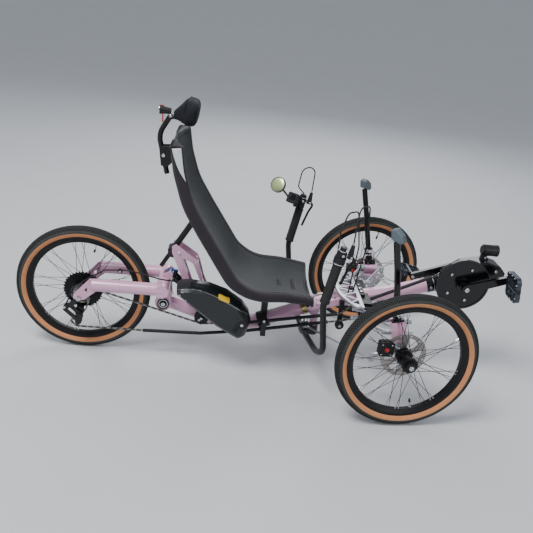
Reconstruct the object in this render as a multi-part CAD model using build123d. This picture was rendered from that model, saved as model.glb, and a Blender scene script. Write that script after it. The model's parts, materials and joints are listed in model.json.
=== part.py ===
from build123d import *

import math
import os

# A recumbent trike: two steered front wheels, one driven rear wheel, a mesh seat,
# under-seat steering and an electric motor at the pedals.
# +X is forward, +Y is the rider's left and +Z is up, in millimetres.
# Every place below is measured from the point on the ground midway between the front
# wheels, and save() moves the finished pieces so that the origin lies under the middle.

# Wheels and stance
wheelbase = 1135.0
track = 733.0
bead_seat_radius = 203.0
tyre_section_radius = 21.8
tyre_radius = bead_seat_radius + 2 * tyre_section_radius
rim_flange_height = 5.0
rim_outer_radius = bead_seat_radius + rim_flange_height
rim_depth = 23.0
rim_width = 29.0
tyre_gap = 0.3
front_camber = 1.07
spoke_count = 36
spoke_radius = 1.0

# Fits
fit = 0.3
running_fit = 0.05

# Front hub, stub axle and disc
stub_radius = 6.0
hub_barrel_radius = 17.0
hub_flange_radius = 27.0
hub_flange_offset = 27.0
hub_inner_end = 46.0
hub_outer_end = 42.0
rotor_radius = 80.0
rotor_thickness = 1.8

# Steering axis of each front wheel
kingpin_x = 6.0
kingpin_offset = 87.5
kingpin_y = track / 2 - kingpin_offset
kingpin_radius = 8.0
caster = 13.0
kingpin_inclination = 17.0
wheel_centre_x = 2.0
knuckle_rest_left = 6.5
knuckle_rest_right = 4.5
housing_bottom = 24.0
housing_top = 92.0
housing_length = 48.0
housing_width = 40.0
steering_arm_end = (-84.0, kingpin_y - 13, 204.0)

# Brake caliper
caliper_length = 50.0
caliper_height = 52.0
caliper_rise = 22.0
caliper_overlap = 40.0
caliper_outer = 9.0
caliper_inner = 18.0
knob_radius = 8.0

# Front suspension
pivot_inset = 30.0
pivot_half_length = 24.0
pivot_margin = 12.0
pivot_barrel_radius = 9.0
arm_bar_radius = 6.0
arm_boss_length = 30.0
subframe_x = -88.0
subframe_length = 36.0
arm_inner_y = 118.0
upper_arm_z = 300.0
lower_arm_z = 262.0
side_wall_y = 104.0
plate_low = 317.6
subframe_top = plate_low - fit
subframe_bottom = 248.0
plate_thickness = 8.0
rib_half_width = 3.2

# Handlebar under the seat
bar_pivot_x = -258.0
bar_rest = 8.5
bar_tube_radius = 11.0
bar_height = 138.0
bar_half_width = 272.0
grip_radius = 17.0
# Left half of the bar from its centre to its tip (x, y, z), with the radius of each bend
bar_line = [
    (-42, 0, bar_height), (-42, bar_half_width - 50, bar_height + 26), (-42, bar_half_width, bar_height + 74),
    (-66, bar_half_width, 385), (-26, bar_half_width, 599),
]
bar_bends = [160, 50, 60]
mirror_centre = Vector(-118, bar_half_width + 70, 612)
mirror_face = Vector(-0.61, -0.68, 0.42).normalized()
mirror_radius = 32.0
display_offset = Vector(-50, -28, 0)
display_turn = 40.0
display_lean = 28.0
rod_pin_back = 32.0
rod_pin_side = 20.0
rod_eye_height = 161.0
rod_eye_radius = 9.0
rod_eye_thickness = 8.0
rod_radius = 5.0
rod_pin_radius = 4.0
rod_end_gap = 11.0
cable_radius = 2.5

# Assist posts
post_radius = 11.0
# Right post from its foot on the housing to its top, y counted from the kingpin outboard
post_line = [(-17, -25, 336), (-57, -3, 535), (-80, 4, 636)]
cap_half_width = post_radius + 4.0
cap_turn = 40.0

# Swingarm pivot, which sets the place of the frame's rear and all that it carries
swingarm_reach = 299.0
pivot_x = swingarm_reach - wheelbase
pivot_z = 225.0
pivot_radius = 32.0
pivot_half_width = 30.0
pivot_cap_radius = 22.0
ear_thickness = 10.0

# Main tube, as side-view points (x, z) of its centre line
hinge_x = -273.0
tube_flats = 50.0
tube_line = [
    (pivot_x, pivot_z), (pivot_x + 196, 158), (pivot_x + 271, 146), (pivot_x + 346, 153),
    (hinge_x, 246), (-190, 273), (14, 320), (150, 363),
]
tube_bend = 90.0
sleeve_length = 110.0
boom_radius = 22.0

# Crank, motor and pedals
crank_x = 267.0
crank_z = 402.0
crank_length = 150.0
crank_turn = 19.0
crank_offset = 97.0
shaft_radius = 10.0
guard_radius = 100.0
guard_y = -60.0
guard_thickness = 3.0
guard_rim = 7.0
chainring_radius = 76.0
chain_y = -48.0
pedal_length = 96.0
pedal_width = 88.0
pedal_depth = 17.0
pedal_wall = 7.0
pedal_gap = 6.0
motor_half_width = 38.0

# Chain run, as side-view points
chain_height = 7.0
chain_half_width = 3.0
chain_tube_radius = 6.4
chain_tube_turn = 80.0
chain_sprocket_radius = 31.6
chain_pitch = 12.7
# Columns: x, z and chain radius of each guide pulley, then y where its stay meets the frame
pulleys = [(pivot_x + 145, 181, 23, -31.3), (-166, 190, 13, 0)]
# Centre line of each plastic tube (x, z), from back to front
chain_tube_lines = [
    [(pivot_x + 311, 171), (-182, 235.7)],
    [(pivot_x - 72, 108), (pivot_x + 144, 112), (pivot_x + 314, 136), (-212, 199.2)],
    [(-120, 281.1), (148, 418)],
]

# Rear end
rear_axle = (-wheelbase, tyre_radius)
arm_y = 78.0
arm_cross_point = (pivot_x - 2, 300)
arm_tube_radius = 25.0
arm_radius = 23.0
rear_axle_radius = 6.0
cassette_inner_y = -14.0
cassette_outer_y = -52.0
cassette_big_radius = 72.0
cassette_small_radius = 24.0
cassette_sprockets = 10

# Battery
battery_inner_y = -72.0
battery_flat = 26.0
# Columns: depth and draft in degrees of each layer of the hull, from the flat part out
battery_layers = [(24, 8), (15, 24), (8, 48)]

# Headrest
post_top = (-837, 0, 911)
pad_centre = (-768, 0, 931)
pad_size = (58, 150, 86)
pad_taper = 12.0

# Seat mast, and the point of its clamp that the seat's strut passes through (x, z)
mast_half_width = 31.0
mast_wall = 6.0
strut_clamp_point = (pivot_x + 23.2, 427)
strut_foot_z = 361.0

# Seat, as side-view points (x, z) of the rail's centre line with half widths in plan (x, y)
rail_radius = 11.0
rail_line = [
    (-303, 338), (-400, 351), (-510, 351), (-580, 400), (-690, 570), (-748, 665), (-778, 765), (-790, 845),
]
rail_bends = [260, 160, 120, 420, 300, 300]
seat_sag = 26.0
seat_half_width = 178.0
seat_plan = [(-303, 158), (-568, seat_half_width), (-740, 168), (-790, 153)]
mesh_thickness = 4.0
cross_tube_radius = 8.0
cross_drop = cross_tube_radius + mesh_thickness / 2 + 0.8
# Columns: x of each cross tube on the rail's line, half length
clamp_cross_x = -455.0
strut_cross_x = -699.0
post_cross_x = -784.0
cross_tubes = [(-312, 158), (clamp_cross_x, 170), (strut_cross_x, 170), (post_cross_x, 155)]

os.makedirs("parts", exist_ok=True)


def save(name, *shapes):
    """Moves the shapes to the part's frame and writes them as one node."""
    solids = []
    for shape in shapes:
        solids += shape.solids()
    placed = [Pos(*front_axle_place) * solid for solid in solids]
    export_step(placed[0] if len(placed) == 1 else Compound(children=placed), f"parts/{name}.step")


def rod(start, end, radius):
    """A round bar between two points."""
    start = Vector(*start)
    along = Vector(*end) - start
    bottom = (Align.CENTER, Align.CENTER, Align.MIN)
    return Plane(origin=start, z_dir=along) * Cylinder(radius, along.length, align=bottom)


def cone(start, end, first_radius, last_radius):
    """Tapered round bar between two points."""
    start, end = Vector(*start), Vector(*end)
    place = Plane(origin=start, z_dir=end - start)
    grounded = (Align.CENTER, Align.CENTER, Align.MIN)
    return place * Cone(first_radius, last_radius, (end - start).length, align=grounded)


def pipe(points, bends, radius, bore=0):
    """A round bar or tube along straight runs joined by arcs."""
    path = FilletPolyline(*points, radius=bends) if len(points) > 2 else Line(*points)
    section = Circle(radius) - Circle(bore) if bore else Circle(radius)
    return sweep(Plane(origin=path @ 0, z_dir=path % 0) * section, path=path)


def flat(points, rounding=0):
    """A flat polygon, its corners rounded, that always faces the same way."""
    turns = sum(x0 * z1 - x1 * z0 for (x0, z0), (x1, z1) in zip(points, points[1:] + points[:1]))
    outline = Polygon(*(points if turns > 0 else points[::-1]), align=None)
    return fillet(outline.vertices(), rounding) if rounding else outline


def side_plate(points, low_y, high_y, rounding=0):
    """A flat outline in the side view, given as (x, z), from low_y to high_y."""
    return Pos(0, high_y, 0) * extrude(Plane.XZ * flat(points, rounding), amount=high_y - low_y)


def disc(x, z, radius, low_y, high_y):
    """A round plate or pin across the trike."""
    return rod((x, low_y, z), (x, high_y, z), radius)


def from_pivot(points):
    """Side-view points whose x is given from the swingarm's pivot."""
    return [(pivot_x + x, z) for x, z in points]


def sprocket(radius, thickness, bore):
    """A toothed ring in the side view whose chain runs at a radius, from y = 0 outward."""
    count = round(2 * math.pi * radius / chain_pitch)
    corners = []
    for tooth in range(count):
        # Columns: share of the tooth's angle, reach beyond the chain's radius
        for share, reach in ((-0.38, -3.4), (-0.1, 1.2), (0.1, 1.2), (0.38, -3.4)):
            angle = 2 * math.pi * (tooth + share) / count
            corners.append(((radius + reach) * math.cos(angle), (radius + reach) * math.sin(angle)))
    return extrude(Plane.XZ * (flat(corners) - Circle(bore)), amount=thickness)


def mirrored(shape):
    """The same piece on the other side of the trike."""
    return mirror(shape, about=Plane.XZ)


def tube_centre(x):
    """Height of the main tube's centre line at x."""
    for (x0, z0), (x1, z1) in zip(tube_line, tube_line[1:]):
        if x0 <= x <= x1:
            return z0 + (z1 - z0) * (x - x0) / (x1 - x0)
    raise ValueError("x lies beyond the main tube")


# Wheel parts, built about the origin with the axle along Y and +Y outboard
def tyre():
    """A round tyre cut off where the rim holds its beads."""
    seat = rim_outer_radius + tyre_gap
    section = Pos(0, bead_seat_radius + tyre_section_radius) * Circle(tyre_section_radius)
    section -= Pos(0, seat / 2) * Rectangle(4 * tyre_section_radius, seat)
    return revolve(Plane.YZ * section, Axis.Y)


def rim():
    """A box rim with a tapered inner wall and a channel for the beads."""
    half = rim_width / 2
    inner = rim_outer_radius - rim_depth
    outline = Polygon(
        (-half, rim_outer_radius), (-half, rim_outer_radius - 10), (-7, inner), (7, inner),
        (half, rim_outer_radius - 10), (half, rim_outer_radius), align=None,
    )
    return revolve(Plane.YZ * outline, Axis.Y)


def spokes(inner_flange_y, outer_flange_y, flange_radius):
    """Thirty-six wire spokes, nine crossing pairs to a flange, as slim six-sided bars."""
    wires = []
    per_flange = spoke_count // 2
    # Columns: flange place along the axle, its first hole in degrees
    for flange_y, first in ((inner_flange_y, 0.0), (outer_flange_y, 10.0)):
        for index in range(per_flange):
            lean = 1 if index % 2 else -1
            hole = math.radians(first + index * 360 / per_flange)
            rim_hole = math.radians(first + index * 360 / per_flange + lean * 52)
            hub_r = flange_radius - 3
            rim_r = rim_outer_radius - rim_depth + 3
            side_step = 2.2 * lean
            start = Vector(hub_r * math.sin(hole), flange_y + side_step, hub_r * math.cos(hole))
            rim_y = 4 * math.copysign(1, flange_y)
            end = Vector(rim_r * math.sin(rim_hole), rim_y, rim_r * math.cos(rim_hole))
            bar = RegularPolygon(spoke_radius, 6)
            wires.append(extrude(Plane(origin=start, z_dir=end - start) * bar, amount=(end - start).length))
    return wires


def hub(inner_end, outer_end, flanges, flange_radius, barrel_radius, bore_radius, blind):
    """A flanged hub, its bore open towards the inboard end or right through."""
    body = rod((0, -inner_end, 0), (0, outer_end, 0), barrel_radius)
    for place in flanges:
        body += rod((0, place - 4, 0), (0, place + 4, 0), flange_radius)
    bore_end = outer_end - 6 if blind else outer_end + 1
    return body - rod((0, -inner_end - 1, 0), (0, bore_end, 0), bore_radius)


def rotor():
    """A brake disc with a slotted ring on six curved-looking arms."""
    face = Circle(rotor_radius) - Circle(hub_barrel_radius + 0.5)
    window = make_face(
        Polyline((29, -10), (63, -23), (66, 0), (57, 16), (28, 7), (29, -10))
    )
    for index in range(6):
        face -= Rot(0, 0, 60 * index) * window
    for index in range(12):
        face -= Rot(0, 0, 30 * index + 12) * (Pos(73, 0) * Circle(3.0))
    plate = extrude(Plane.XZ * face, amount=rotor_thickness)
    return Pos(0, -hub_inner_end + 6, 0) * plate


# Front wheels and knuckles: built pointing straight ahead on the left, mirrored for the
# right, then turned about the kingpin axis to the angle at which the trike is parked.
def kingpin_point(along, side):
    """A point on the kingpin axis, so far above the axle's height along it."""
    lean = Vector(-math.tan(math.radians(caster)), -side * math.tan(math.radians(kingpin_inclination)), 1)
    return Vector(kingpin_x, side * kingpin_y, tyre_radius) + lean.normalized() * along


def kingpin_axis(side):
    return Axis(kingpin_point(0, side), kingpin_point(1, side) - kingpin_point(0, side))


def turned(point, axis, angle):
    """A point turned about a line that need not pass through the origin."""
    return axis.position + (point - axis.position).rotate(Axis((0, 0, 0), axis.direction), angle)


def wheel_axis(side):
    """Outboard direction of a straight-ahead front axle, top leaning inboard."""
    return Vector(0, side * math.cos(math.radians(front_camber)), math.sin(math.radians(front_camber)))


def straight_centre(side, rest):
    """Wheel centre pointing straight ahead, set so that the parked tyre meets the ground."""
    centre = Vector(wheel_centre_x, side * track / 2, tyre_radius)
    parked = turned(centre, kingpin_axis(side), rest)
    tilt = wheel_axis(side).rotate(Axis((0, 0, 0), kingpin_axis(side).direction), rest).Z
    ring_radius = tyre_radius - tyre_section_radius
    lowest = parked.Z - ring_radius * math.sqrt(1 - tilt * tilt) - tyre_section_radius
    return centre - Vector(0, 0, lowest)


def wheel_place(side, rest):
    """Plane whose Y axis is the axle, outboard, for parts built about the origin."""
    outboard = wheel_axis(side)
    ahead = Vector(1, 0, 0)
    return Plane(origin=straight_centre(side, rest), x_dir=ahead, z_dir=ahead.cross(outboard))


def kingpin_bar(low, high, radius, side):
    return rod(kingpin_point(low, side), kingpin_point(high, side), radius)


def knuckle(side, rest):
    """Kingpin, stub axle and steering arm as one welded piece."""
    centre = straight_centre(side, rest)
    outboard = wheel_axis(side)
    hub_face = centre - outboard * (hub_inner_end + fit)
    body = kingpin_bar(housing_bottom - 40, housing_bottom - fit, 18, side)
    body += kingpin_bar(housing_bottom - 1, housing_top - 6, kingpin_radius, side)
    neck_start = centre - outboard * (abs(centre.Y) - kingpin_y - 2)
    body += rod(neck_start, hub_face, 11)
    body += rod(hub_face, centre + outboard * (hub_outer_end - 8), stub_radius)
    arm_end = Vector(steering_arm_end[0], side * steering_arm_end[1], steering_arm_end[2])
    body += pipe([kingpin_point(-8, side), arm_end + Vector(30, side * 4, 12), arm_end], 24, 8)
    body += rod(arm_end - Vector(0, 0, 5), arm_end + Vector(0, 0, 9), 11)
    return body + wheel_place(side, rest).location * caliper_stay(side, 0)


def caliper_stay(up, extra):
    """Stub from the knuckle into the caliper, in the wheel's own frame."""
    stay_y = -hub_inner_end + 6 - caliper_inner + 6
    rear = -(rotor_radius - caliper_overlap)
    return rod((2, stay_y, 0), (rear - 8 - extra, stay_y, up * caliper_rise), 6 + extra)


def caliper(up):
    """Brake caliper behind the axle with an adjusting knob on each face, slotted for the disc."""
    disc_y = -hub_inner_end + 6
    rear = -(rotor_radius - caliper_overlap + caliper_length / 2)
    rise = up * caliper_rise
    place = Plane(origin=(rear, disc_y + caliper_outer, rise), x_dir=(1, 0, 0), z_dir=(0, -1, 0))
    block = extrude(RectangleRounded(caliper_length, caliper_height, 8), amount=caliper_outer + caliper_inner)
    body = place.location * block
    body += disc(rear, rise, knob_radius, disc_y - caliper_inner - 4, disc_y + caliper_outer + 3.5)
    slot_length = caliper_overlap + 4
    alignment = (Align.MIN, Align.CENTER, Align.CENTER)
    slot = Box(slot_length, rotor_thickness + 4, 2 * rotor_radius, align=alignment)
    body -= Pos(-rotor_radius - 4, disc_y - rotor_thickness / 2, 0) * slot
    return body - caliper_stay(up, fit)


def front_side(side, rest, name):
    """Everything that steers with one front wheel."""
    place = wheel_place(side, rest)
    turn = kingpin_axis(side)
    # Outboard is +Y in each wheel part, so the mirror image serves the right side
    def set_down(shape):
        return (place.location * shape).rotate(turn, rest)

    wheel = rim()
    barrel = hub(
        hub_inner_end, hub_outer_end, (-hub_flange_offset + 1, hub_flange_offset), hub_flange_radius,
        hub_barrel_radius, stub_radius + running_fit, True,
    )
    wheel = wheel.fuse(barrel, *spokes(-hub_flange_offset + 1, hub_flange_offset, hub_flange_radius))
    save(f"tyre_{name}", set_down(tyre()))
    save(f"wheel_{name}", set_down(wheel))
    save(f"rotor_{name}", set_down(rotor()))
    save(f"knuckle_{name}", knuckle(side, rest).rotate(turn, rest))
    save(f"caliper_{name}", set_down(caliper(side)))


def pivot_centre(along, side):
    """Centre of one of the housing's two suspension pivots."""
    return kingpin_point(along, side) - Vector(0, side * pivot_inset, 0)


def housing_block(side, low, high, extra=0.0):
    """Upright block about the kingpin axis between two heights along it."""
    along = kingpin_axis(side).direction
    place = Plane(origin=kingpin_point(low, side), x_dir=(1, 0, 0), z_dir=along)
    outline = RectangleRounded(housing_length + 2 * extra, housing_width + 2 * extra, 7)
    return extrude(place * outline, amount=high - low)


def kingpin_housing(side):
    """Block that the suspension arms carry, bored from below for the kingpin."""
    block = housing_block(side, housing_bottom, housing_top)
    groove = kingpin_point((housing_bottom + housing_top) / 2, side) + Vector(0, side * housing_width / 2, 0)
    slot = Box(9, 14, 2 * housing_length)
    block -= Pos(groove) * Rot(side * kingpin_inclination, -caster, 0) * slot
    reach = Vector(pivot_half_length, 0, 0)
    for along in (housing_bottom + pivot_margin, housing_top - pivot_margin):
        centre = pivot_centre(along, side)
        block += rod(centre - reach, centre + reach, pivot_barrel_radius)
        block += rod(centre, centre + Vector(0, side * pivot_inset * 0.35, 0), pivot_barrel_radius - 1.5)
    return block - kingpin_bar(housing_bottom - 1, housing_top - 5, kingpin_radius + running_fit, side)


def suspension_arms(side):
    """Two pairs of silver bars from the housing's pivots in to the subframe."""
    bars = []
    low, high = housing_bottom + pivot_margin, housing_top - pivot_margin
    for along, inner_z in ((low, lower_arm_z), (high, upper_arm_z)):
        outer = pivot_centre(along, side)
        inner = Vector(subframe_x, side * arm_inner_y, inner_z)
        for way in (-1, 1):
            start = Vector(way * (pivot_half_length + fit), 0, 0)
            end = Vector(way * (pivot_half_length + arm_boss_length), 0, 0)
            middle = (start + end) / 2
            bar = rod(outer + middle, inner + middle, arm_bar_radius)
            bar += rod(outer + start, outer + end, pivot_barrel_radius)
            bar += rod(inner + start, inner + end, pivot_barrel_radius)
            bars.append(bar)
    return bars


# Frame
def main_tube(extra=0.0):
    """Eight-sided main tube, grown by extra all round where it serves as a cutter."""
    path = Plane.XZ * FilletPolyline(*tube_line, radius=tube_bend)
    across_corners = (tube_flats / 2 + extra) / math.cos(math.radians(22.5))
    section = Plane(origin=path @ 0, x_dir=(0, 1, 0), z_dir=path % 0)
    return sweep(section * Rot(0, 0, 22.5) * RegularPolygon(across_corners, 8), path=path)


def tube_direction(x):
    step = 5.0
    return Vector(2 * step, 0, tube_centre(x + step) - tube_centre(x - step)).normalized()


def tube_collar(x, half_length, radius):
    """A round collar about the main tube at x."""
    centre = Vector(x, 0, tube_centre(x))
    along = tube_direction(x)
    return rod(centre - along * half_length, centre + along * half_length, radius)


def hinge_flanges(extra=0.0):
    """The two thick flanges of the folding hinge, as one drum."""
    return tube_collar(hinge_x, 17 + extra, 36 + extra)


def main_frame():
    tube = main_tube()
    front_end = Vector(tube_line[-1][0], 0, tube_line[-1][1])
    back = tube_direction(140)
    tube += rod(front_end - back * sleeve_length, front_end, tube_flats / 2 + 3)
    tube += disc(pivot_x, pivot_z, pivot_radius, -pivot_half_width, pivot_half_width)
    tube -= disc(pivot_x, pivot_z, 12 + fit, -pivot_half_width - 1, pivot_half_width + 1)
    tube += hinge_flanges()
    # Upright lug behind the suspension plate
    lug = [(-232, 262), (-190, 262), (-184, 300), (-196, 326), (-214, 316)]
    tube += side_plate(lug, -19, 19, 4)
    # Steering pivot post below the tube
    tube += rod((bar_pivot_x, 0, bar_height + 22), (bar_pivot_x, 0, tube_centre(bar_pivot_x)), 15)
    tube += rod((bar_pivot_x, 0, bar_height - 24), (bar_pivot_x, 0, bar_height + 30), 8)
    # Bore for the telescopic boom
    tube -= rod(front_end - back * (sleeve_length - 12), front_end + back * 5, boom_radius + fit)
    return tube


def fold_latch():
    """Bent quick-release lever over the folding hinge."""
    lever = pipe([(-284, -18, 262), (-276, -27, 292), (-262, -29, 306), (-238, -30, 312)], [12, 10], 3.5)
    return lever - hinge_flanges(fit)


def boom_end():
    front_end = Vector(tube_line[-1][0], 0, tube_line[-1][1])
    return front_end, tube_direction(140)


def boom():
    front_end, along = boom_end()
    start = front_end - along * (sleeve_length - 14)
    return rod(start, front_end + along * 62, boom_radius)


def sleeve_clamp():
    """Slotted clamp ring on the sleeve's mouth."""
    front_end, along = boom_end()
    ring = rod(front_end + along * 1, front_end + along * 24, boom_radius + 8)
    return ring - rod(front_end, front_end + along * 30, boom_radius + fit)


def motor_body(extra=0.0):
    """Round housing about the crank with a nose ahead of it, grown by extra all round."""
    outline = flat(
        [
            (212, 352), (262, 338), (330, 366), (418, 412), (430, 446), (404, 474), (352, 488), (268, 470),
            (204, 420),
        ], 14
    )
    if extra:
        outline = offset(outline, extra)
    half = motor_half_width + extra
    return Pos(0, half, 0) * extrude(Plane.XZ * outline, amount=2 * half)


def motor():
    """Crank motor with the socket that clamps it to the boom."""
    body = motor_body()
    body = chamfer(body.faces().sort_by(Axis.Y)[0].edges(), 5)
    body = chamfer(body.faces().sort_by(Axis.Y)[-1].edges(), 5)
    front_end, along = boom_end()
    body += rod(front_end + along * 30, front_end + along * 90, 31)
    body -= rod(front_end, front_end + along * 62.3, boom_radius + fit)
    body -= disc(crank_x, crank_z, shaft_radius + running_fit, -80, 80)
    return body


def headlamp():
    barrel = rod((336, 0, 524), (386, 0, 524), 21)
    barrel += rod((382, 0, 524), (391, 0, 524), 22)
    barrel += rod((332, 0, 524), (338, 0, 524), 17)
    stem = side_plate([(334, 505), (352, 505), (366, 480), (332, 480)], -8, 8)
    return barrel + stem - motor_body(fit)


def seat_mast():
    """Two side plates with a window between their legs, joined by webs down each leg."""
    outline = from_pivot([
        (24, 452), (38, 462), (114, 408), (124, 388), (142, 324), (198, 205), (206, 160), (100, 190),
        (64, 330),
        (24, 430),
    ])
    window = from_pivot([(58, 412), (95, 396), (103, 390), (130, 327), (181, 215), (130, 215), (90, 328)])
    body = None
    for low in (-mast_half_width, mast_half_width - mast_wall):
        plate = side_plate(outline, low, low + mast_wall)
        plate -= side_plate(window, low - 1, low + mast_wall + 1, 4)
        plate -= disc(pivot_x + 112, 397, 3.2, low - 1, low + mast_wall + 1)
        body = plate if body is None else body + plate
    # The corners of each web in the side view
    webs = [
        [(41, 392), (46, 394), (66, 345), (61, 343)],
        [(115, 388), (120, 387), (137, 330), (132, 328)],
        [(50, 408), (55, 410), (82, 341), (77, 339)],
    ]
    for web in webs:
        body += side_plate(from_pivot(web), -mast_half_width + 3, mast_half_width - 3)
    return body - main_tube()


def swingarm():
    """Cross tube, two arms with plate dropouts, ears to the frame pivot and the shock's yoke."""
    cx, cz = arm_cross_point
    body = disc(cx, cz, arm_tube_radius, -arm_y - 22, arm_y + 22)
    ear = [(cx - 24, cz), (cx + 24, cz), (pivot_x + 27, pivot_z + 12), (pivot_x - 27, pivot_z + 12)]
    for low in (-pivot_half_width - fit - ear_thickness, pivot_half_width + fit):
        body += side_plate(ear, low, low + ear_thickness)
        body += disc(pivot_x, pivot_z, pivot_radius - 2, low, low + ear_thickness)
    body += disc(pivot_x, pivot_z, 12, -pivot_half_width - 8, pivot_half_width + 8)
    yoke = [(cx - 12, cz + 10), (cx + 16, cz + 14), (cx + 34, cz + 40), (cx + 22, cz + 50), (cx - 4, cz + 36)]
    body += side_plate(yoke, -26, -18, 3) + side_plate(yoke, 18, 26, 3)
    rx, rz = rear_axle
    for side in (-1, 1):
        start = Vector(cx, side * arm_y, cz)
        end = Vector(rx + 48, side * arm_y, cz)
        body += rod(start, end, arm_radius)
        plate = [
            (rx + 62, cz + 22), (rx + 38, cz + 22), (rx - 19, rz + 12), (rx - 21, rz - 3), (rx - 8, rz - 12),
            (rx + 17, rz - 7), (rx + 62, rz + 30),
        ]
        low = side * arm_y - 5
        cut = [(rx + 17, rz + 29), (rx + 31, rz + 46), (rx + 29, rz + 20)]
        body += side_plate(plate, low, low + 10, 3)
        body -= side_plate(cut, low - 1, low + 11, 2)
    # Rear axle, clamped in the dropouts
    body += disc(rx, rz, rear_axle_radius, -arm_y - 17, arm_y + 14)
    return body + disc(rx, rz, 9, -arm_y - 12, -arm_y) + disc(rx, rz, 9, arm_y, arm_y + 10)


def pivot_caps():
    """Ringed cap with a bolt on each end of the swingarm's pivot."""
    caps = []
    face = pivot_half_width + fit + ear_thickness + fit
    for side in (-1, 1):
        low, high = sorted((side * face, side * (face + 4)))
        cap = disc(pivot_x, pivot_z, pivot_cap_radius, low, high)
        low, high = sorted((side * (face + 2), side * (face + 5)))
        cap -= disc(pivot_x, pivot_z, 17, low, high) - disc(pivot_x, pivot_z, 12, low, high)
        low, high = sorted((side * (face + 3), side * (face + 8)))
        cap += disc(pivot_x, pivot_z, 6, low, high)
        caps.append(cap)
    return caps


def rear_shock():
    """Air shock from the swingarm's yoke down between the mast's plates."""
    top = Vector(arm_cross_point[0] + 18, 0, arm_cross_point[1] + 36)
    low = Vector(pivot_x + 172, 0, 208)
    along = (low - top).normalized()
    body = rod(top + along * 25, top + along * 108, 17)
    body += rod(top, top + along * 26, 8)
    body += rod(top + along * 107, low - along * 8, 8)
    body += disc(top.X, top.Z, 10, -18 + fit, 18 - fit)
    inside = mast_half_width - mast_wall - fit
    body += disc(low.X, low.Z, 11, -inside, inside)
    body += rod(top + along * 28 + Vector(0, 0, 12), top + along * 28 + Vector(2, 0, 32), 8)
    return body - main_tube(fit)


def battery():
    """Long battery on the right of the frame, its outer side drawn in like a hull."""
    outline = from_pivot([
        (52, 335), (66, 346), (101, 350), (168, 343), (232, 321), (291, 281), (317, 246), (327, 210),
        (314, 160), (298, 147), (280, 143), (252, 158), (195, 192), (101, 266), (52, 306),
    ])
    section = Plane.XZ * flat(outline, 5)
    body = Pos(0, battery_inner_y, 0) * extrude(section, amount=battery_flat)
    for depth, draft in battery_layers:
        body += extrude(body.faces().sort_by(Axis.Y)[0], amount=depth, taper=draft)
    return body


def battery_rail():
    """Plate and two spacers that carry the battery off the mast's right plate."""
    outer, inner = battery_inner_y + fit, battery_inner_y + 6
    rail = side_plate(from_pivot([(58, 316), (218, 268), (214, 242), (54, 294)]), outer, inner, 6)
    # Columns: x from the pivot, z and radius of each spacer
    for x, z, radius in ((86, 300, 7), (165, 262, 5)):
        rail += disc(pivot_x + x, z, radius, inner - 1, -mast_half_width - fit)
    return rail


def rail_points(side):
    """Seat rail corners in space: side-view points with the plan's half width at each x."""
    points = []
    for x, z in rail_line:
        for (x0, y0), (x1, y1) in zip(seat_plan, seat_plan[1:]):
            if x1 <= x <= x0:
                y = y0 + (y1 - y0) * (x - x0) / (x1 - x0)
        points.append((x, side * y, z))
    return points


def rail_path():
    """The rails' centre line in the side view."""
    return FilletPolyline(*rail_line, radius=rail_bends)


def rail_back(x, distance):
    """Side-view point so far behind or below the rail's centre line at x."""
    path = rail_path()
    low, high = 0.0, 1.0
    for _ in range(30):
        middle = (low + high) / 2
        if (path @ middle).X > x:
            low = middle
        else:
            high = middle
    along = path % low
    place = (path @ low) + Vector(along.Y, -along.X, 0) * -distance
    return place.X, place.Y


def seat_frame():
    """Two bent rails with bowed cross tubes at the front, under the seat and behind the back."""
    body = None
    for side in (-1, 1):
        rail = pipe(rail_points(side), rail_bends, rail_radius)
        body = rail if body is None else body + rail
    for x, half in cross_tubes:
        rise = seat_sag * (half / seat_half_width) ** 2
        edge_x, edge_z = rail_back(x, cross_drop + seat_sag - rise)
        low_x, low_z = rail_back(x, cross_drop + seat_sag)
        bow = ThreePointArc((edge_x, -half, edge_z), (low_x, 0, low_z), (edge_x, half, edge_z))
        body += sweep(Plane(origin=bow @ 0, z_dir=bow % 0) * Circle(cross_tube_radius), path=bow)
    return body


def seat_mesh():
    """The hung fabric, as one thin sheet that sags between the rails."""
    path = Plane.XZ * rail_path()
    bow = (seat_half_width ** 2 + seat_sag ** 2) / (2 * seat_sag)
    half = mesh_thickness / 2
    ring = Pos(0, seat_sag - bow) * (Circle(bow + half) - Circle(bow - half))
    section = ring & Pos(0, seat_sag / 2) * Rectangle(2 * seat_half_width, seat_sag + 2 * mesh_thickness)
    sheet = sweep(Plane(origin=path @ 0, x_dir=(0, 1, 0), z_dir=path % 0) * section, path=path)
    inset = rail_radius + 1.2
    edge = [(x, y - inset) for x, y, z in rail_points(1)]
    edge = [(edge[0][0] + 30, edge[0][1])] + edge + [(edge[-1][0] - 60, edge[-1][1])]
    plan = edge + [(x, -y) for x, y in reversed(edge)]
    return sheet & extrude(flat(plan), amount=1000)


def seat_clamp():
    """Ring about the main tube, post and saddle under the seat's cross tube."""
    x, saddle = rail_back(clamp_cross_x, cross_drop + seat_sag)
    centre = tube_centre(x)
    body = tube_collar(x, 20, tube_flats / 2 + 8)
    top = saddle - cross_tube_radius - fit
    body += Pos(x, 0, (centre + top) / 2) * Box(24, 34, top - centre)
    body += Pos(x, 0, centre - 34) * Box(24, 26, 24)
    body += Pos(x, -30, centre - 14) * Box(20, 64, 56)
    for tube in chain_tube_runs(chain_tube_radius + fit):
        body -= tube
    return body - main_tube(fit)


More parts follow.
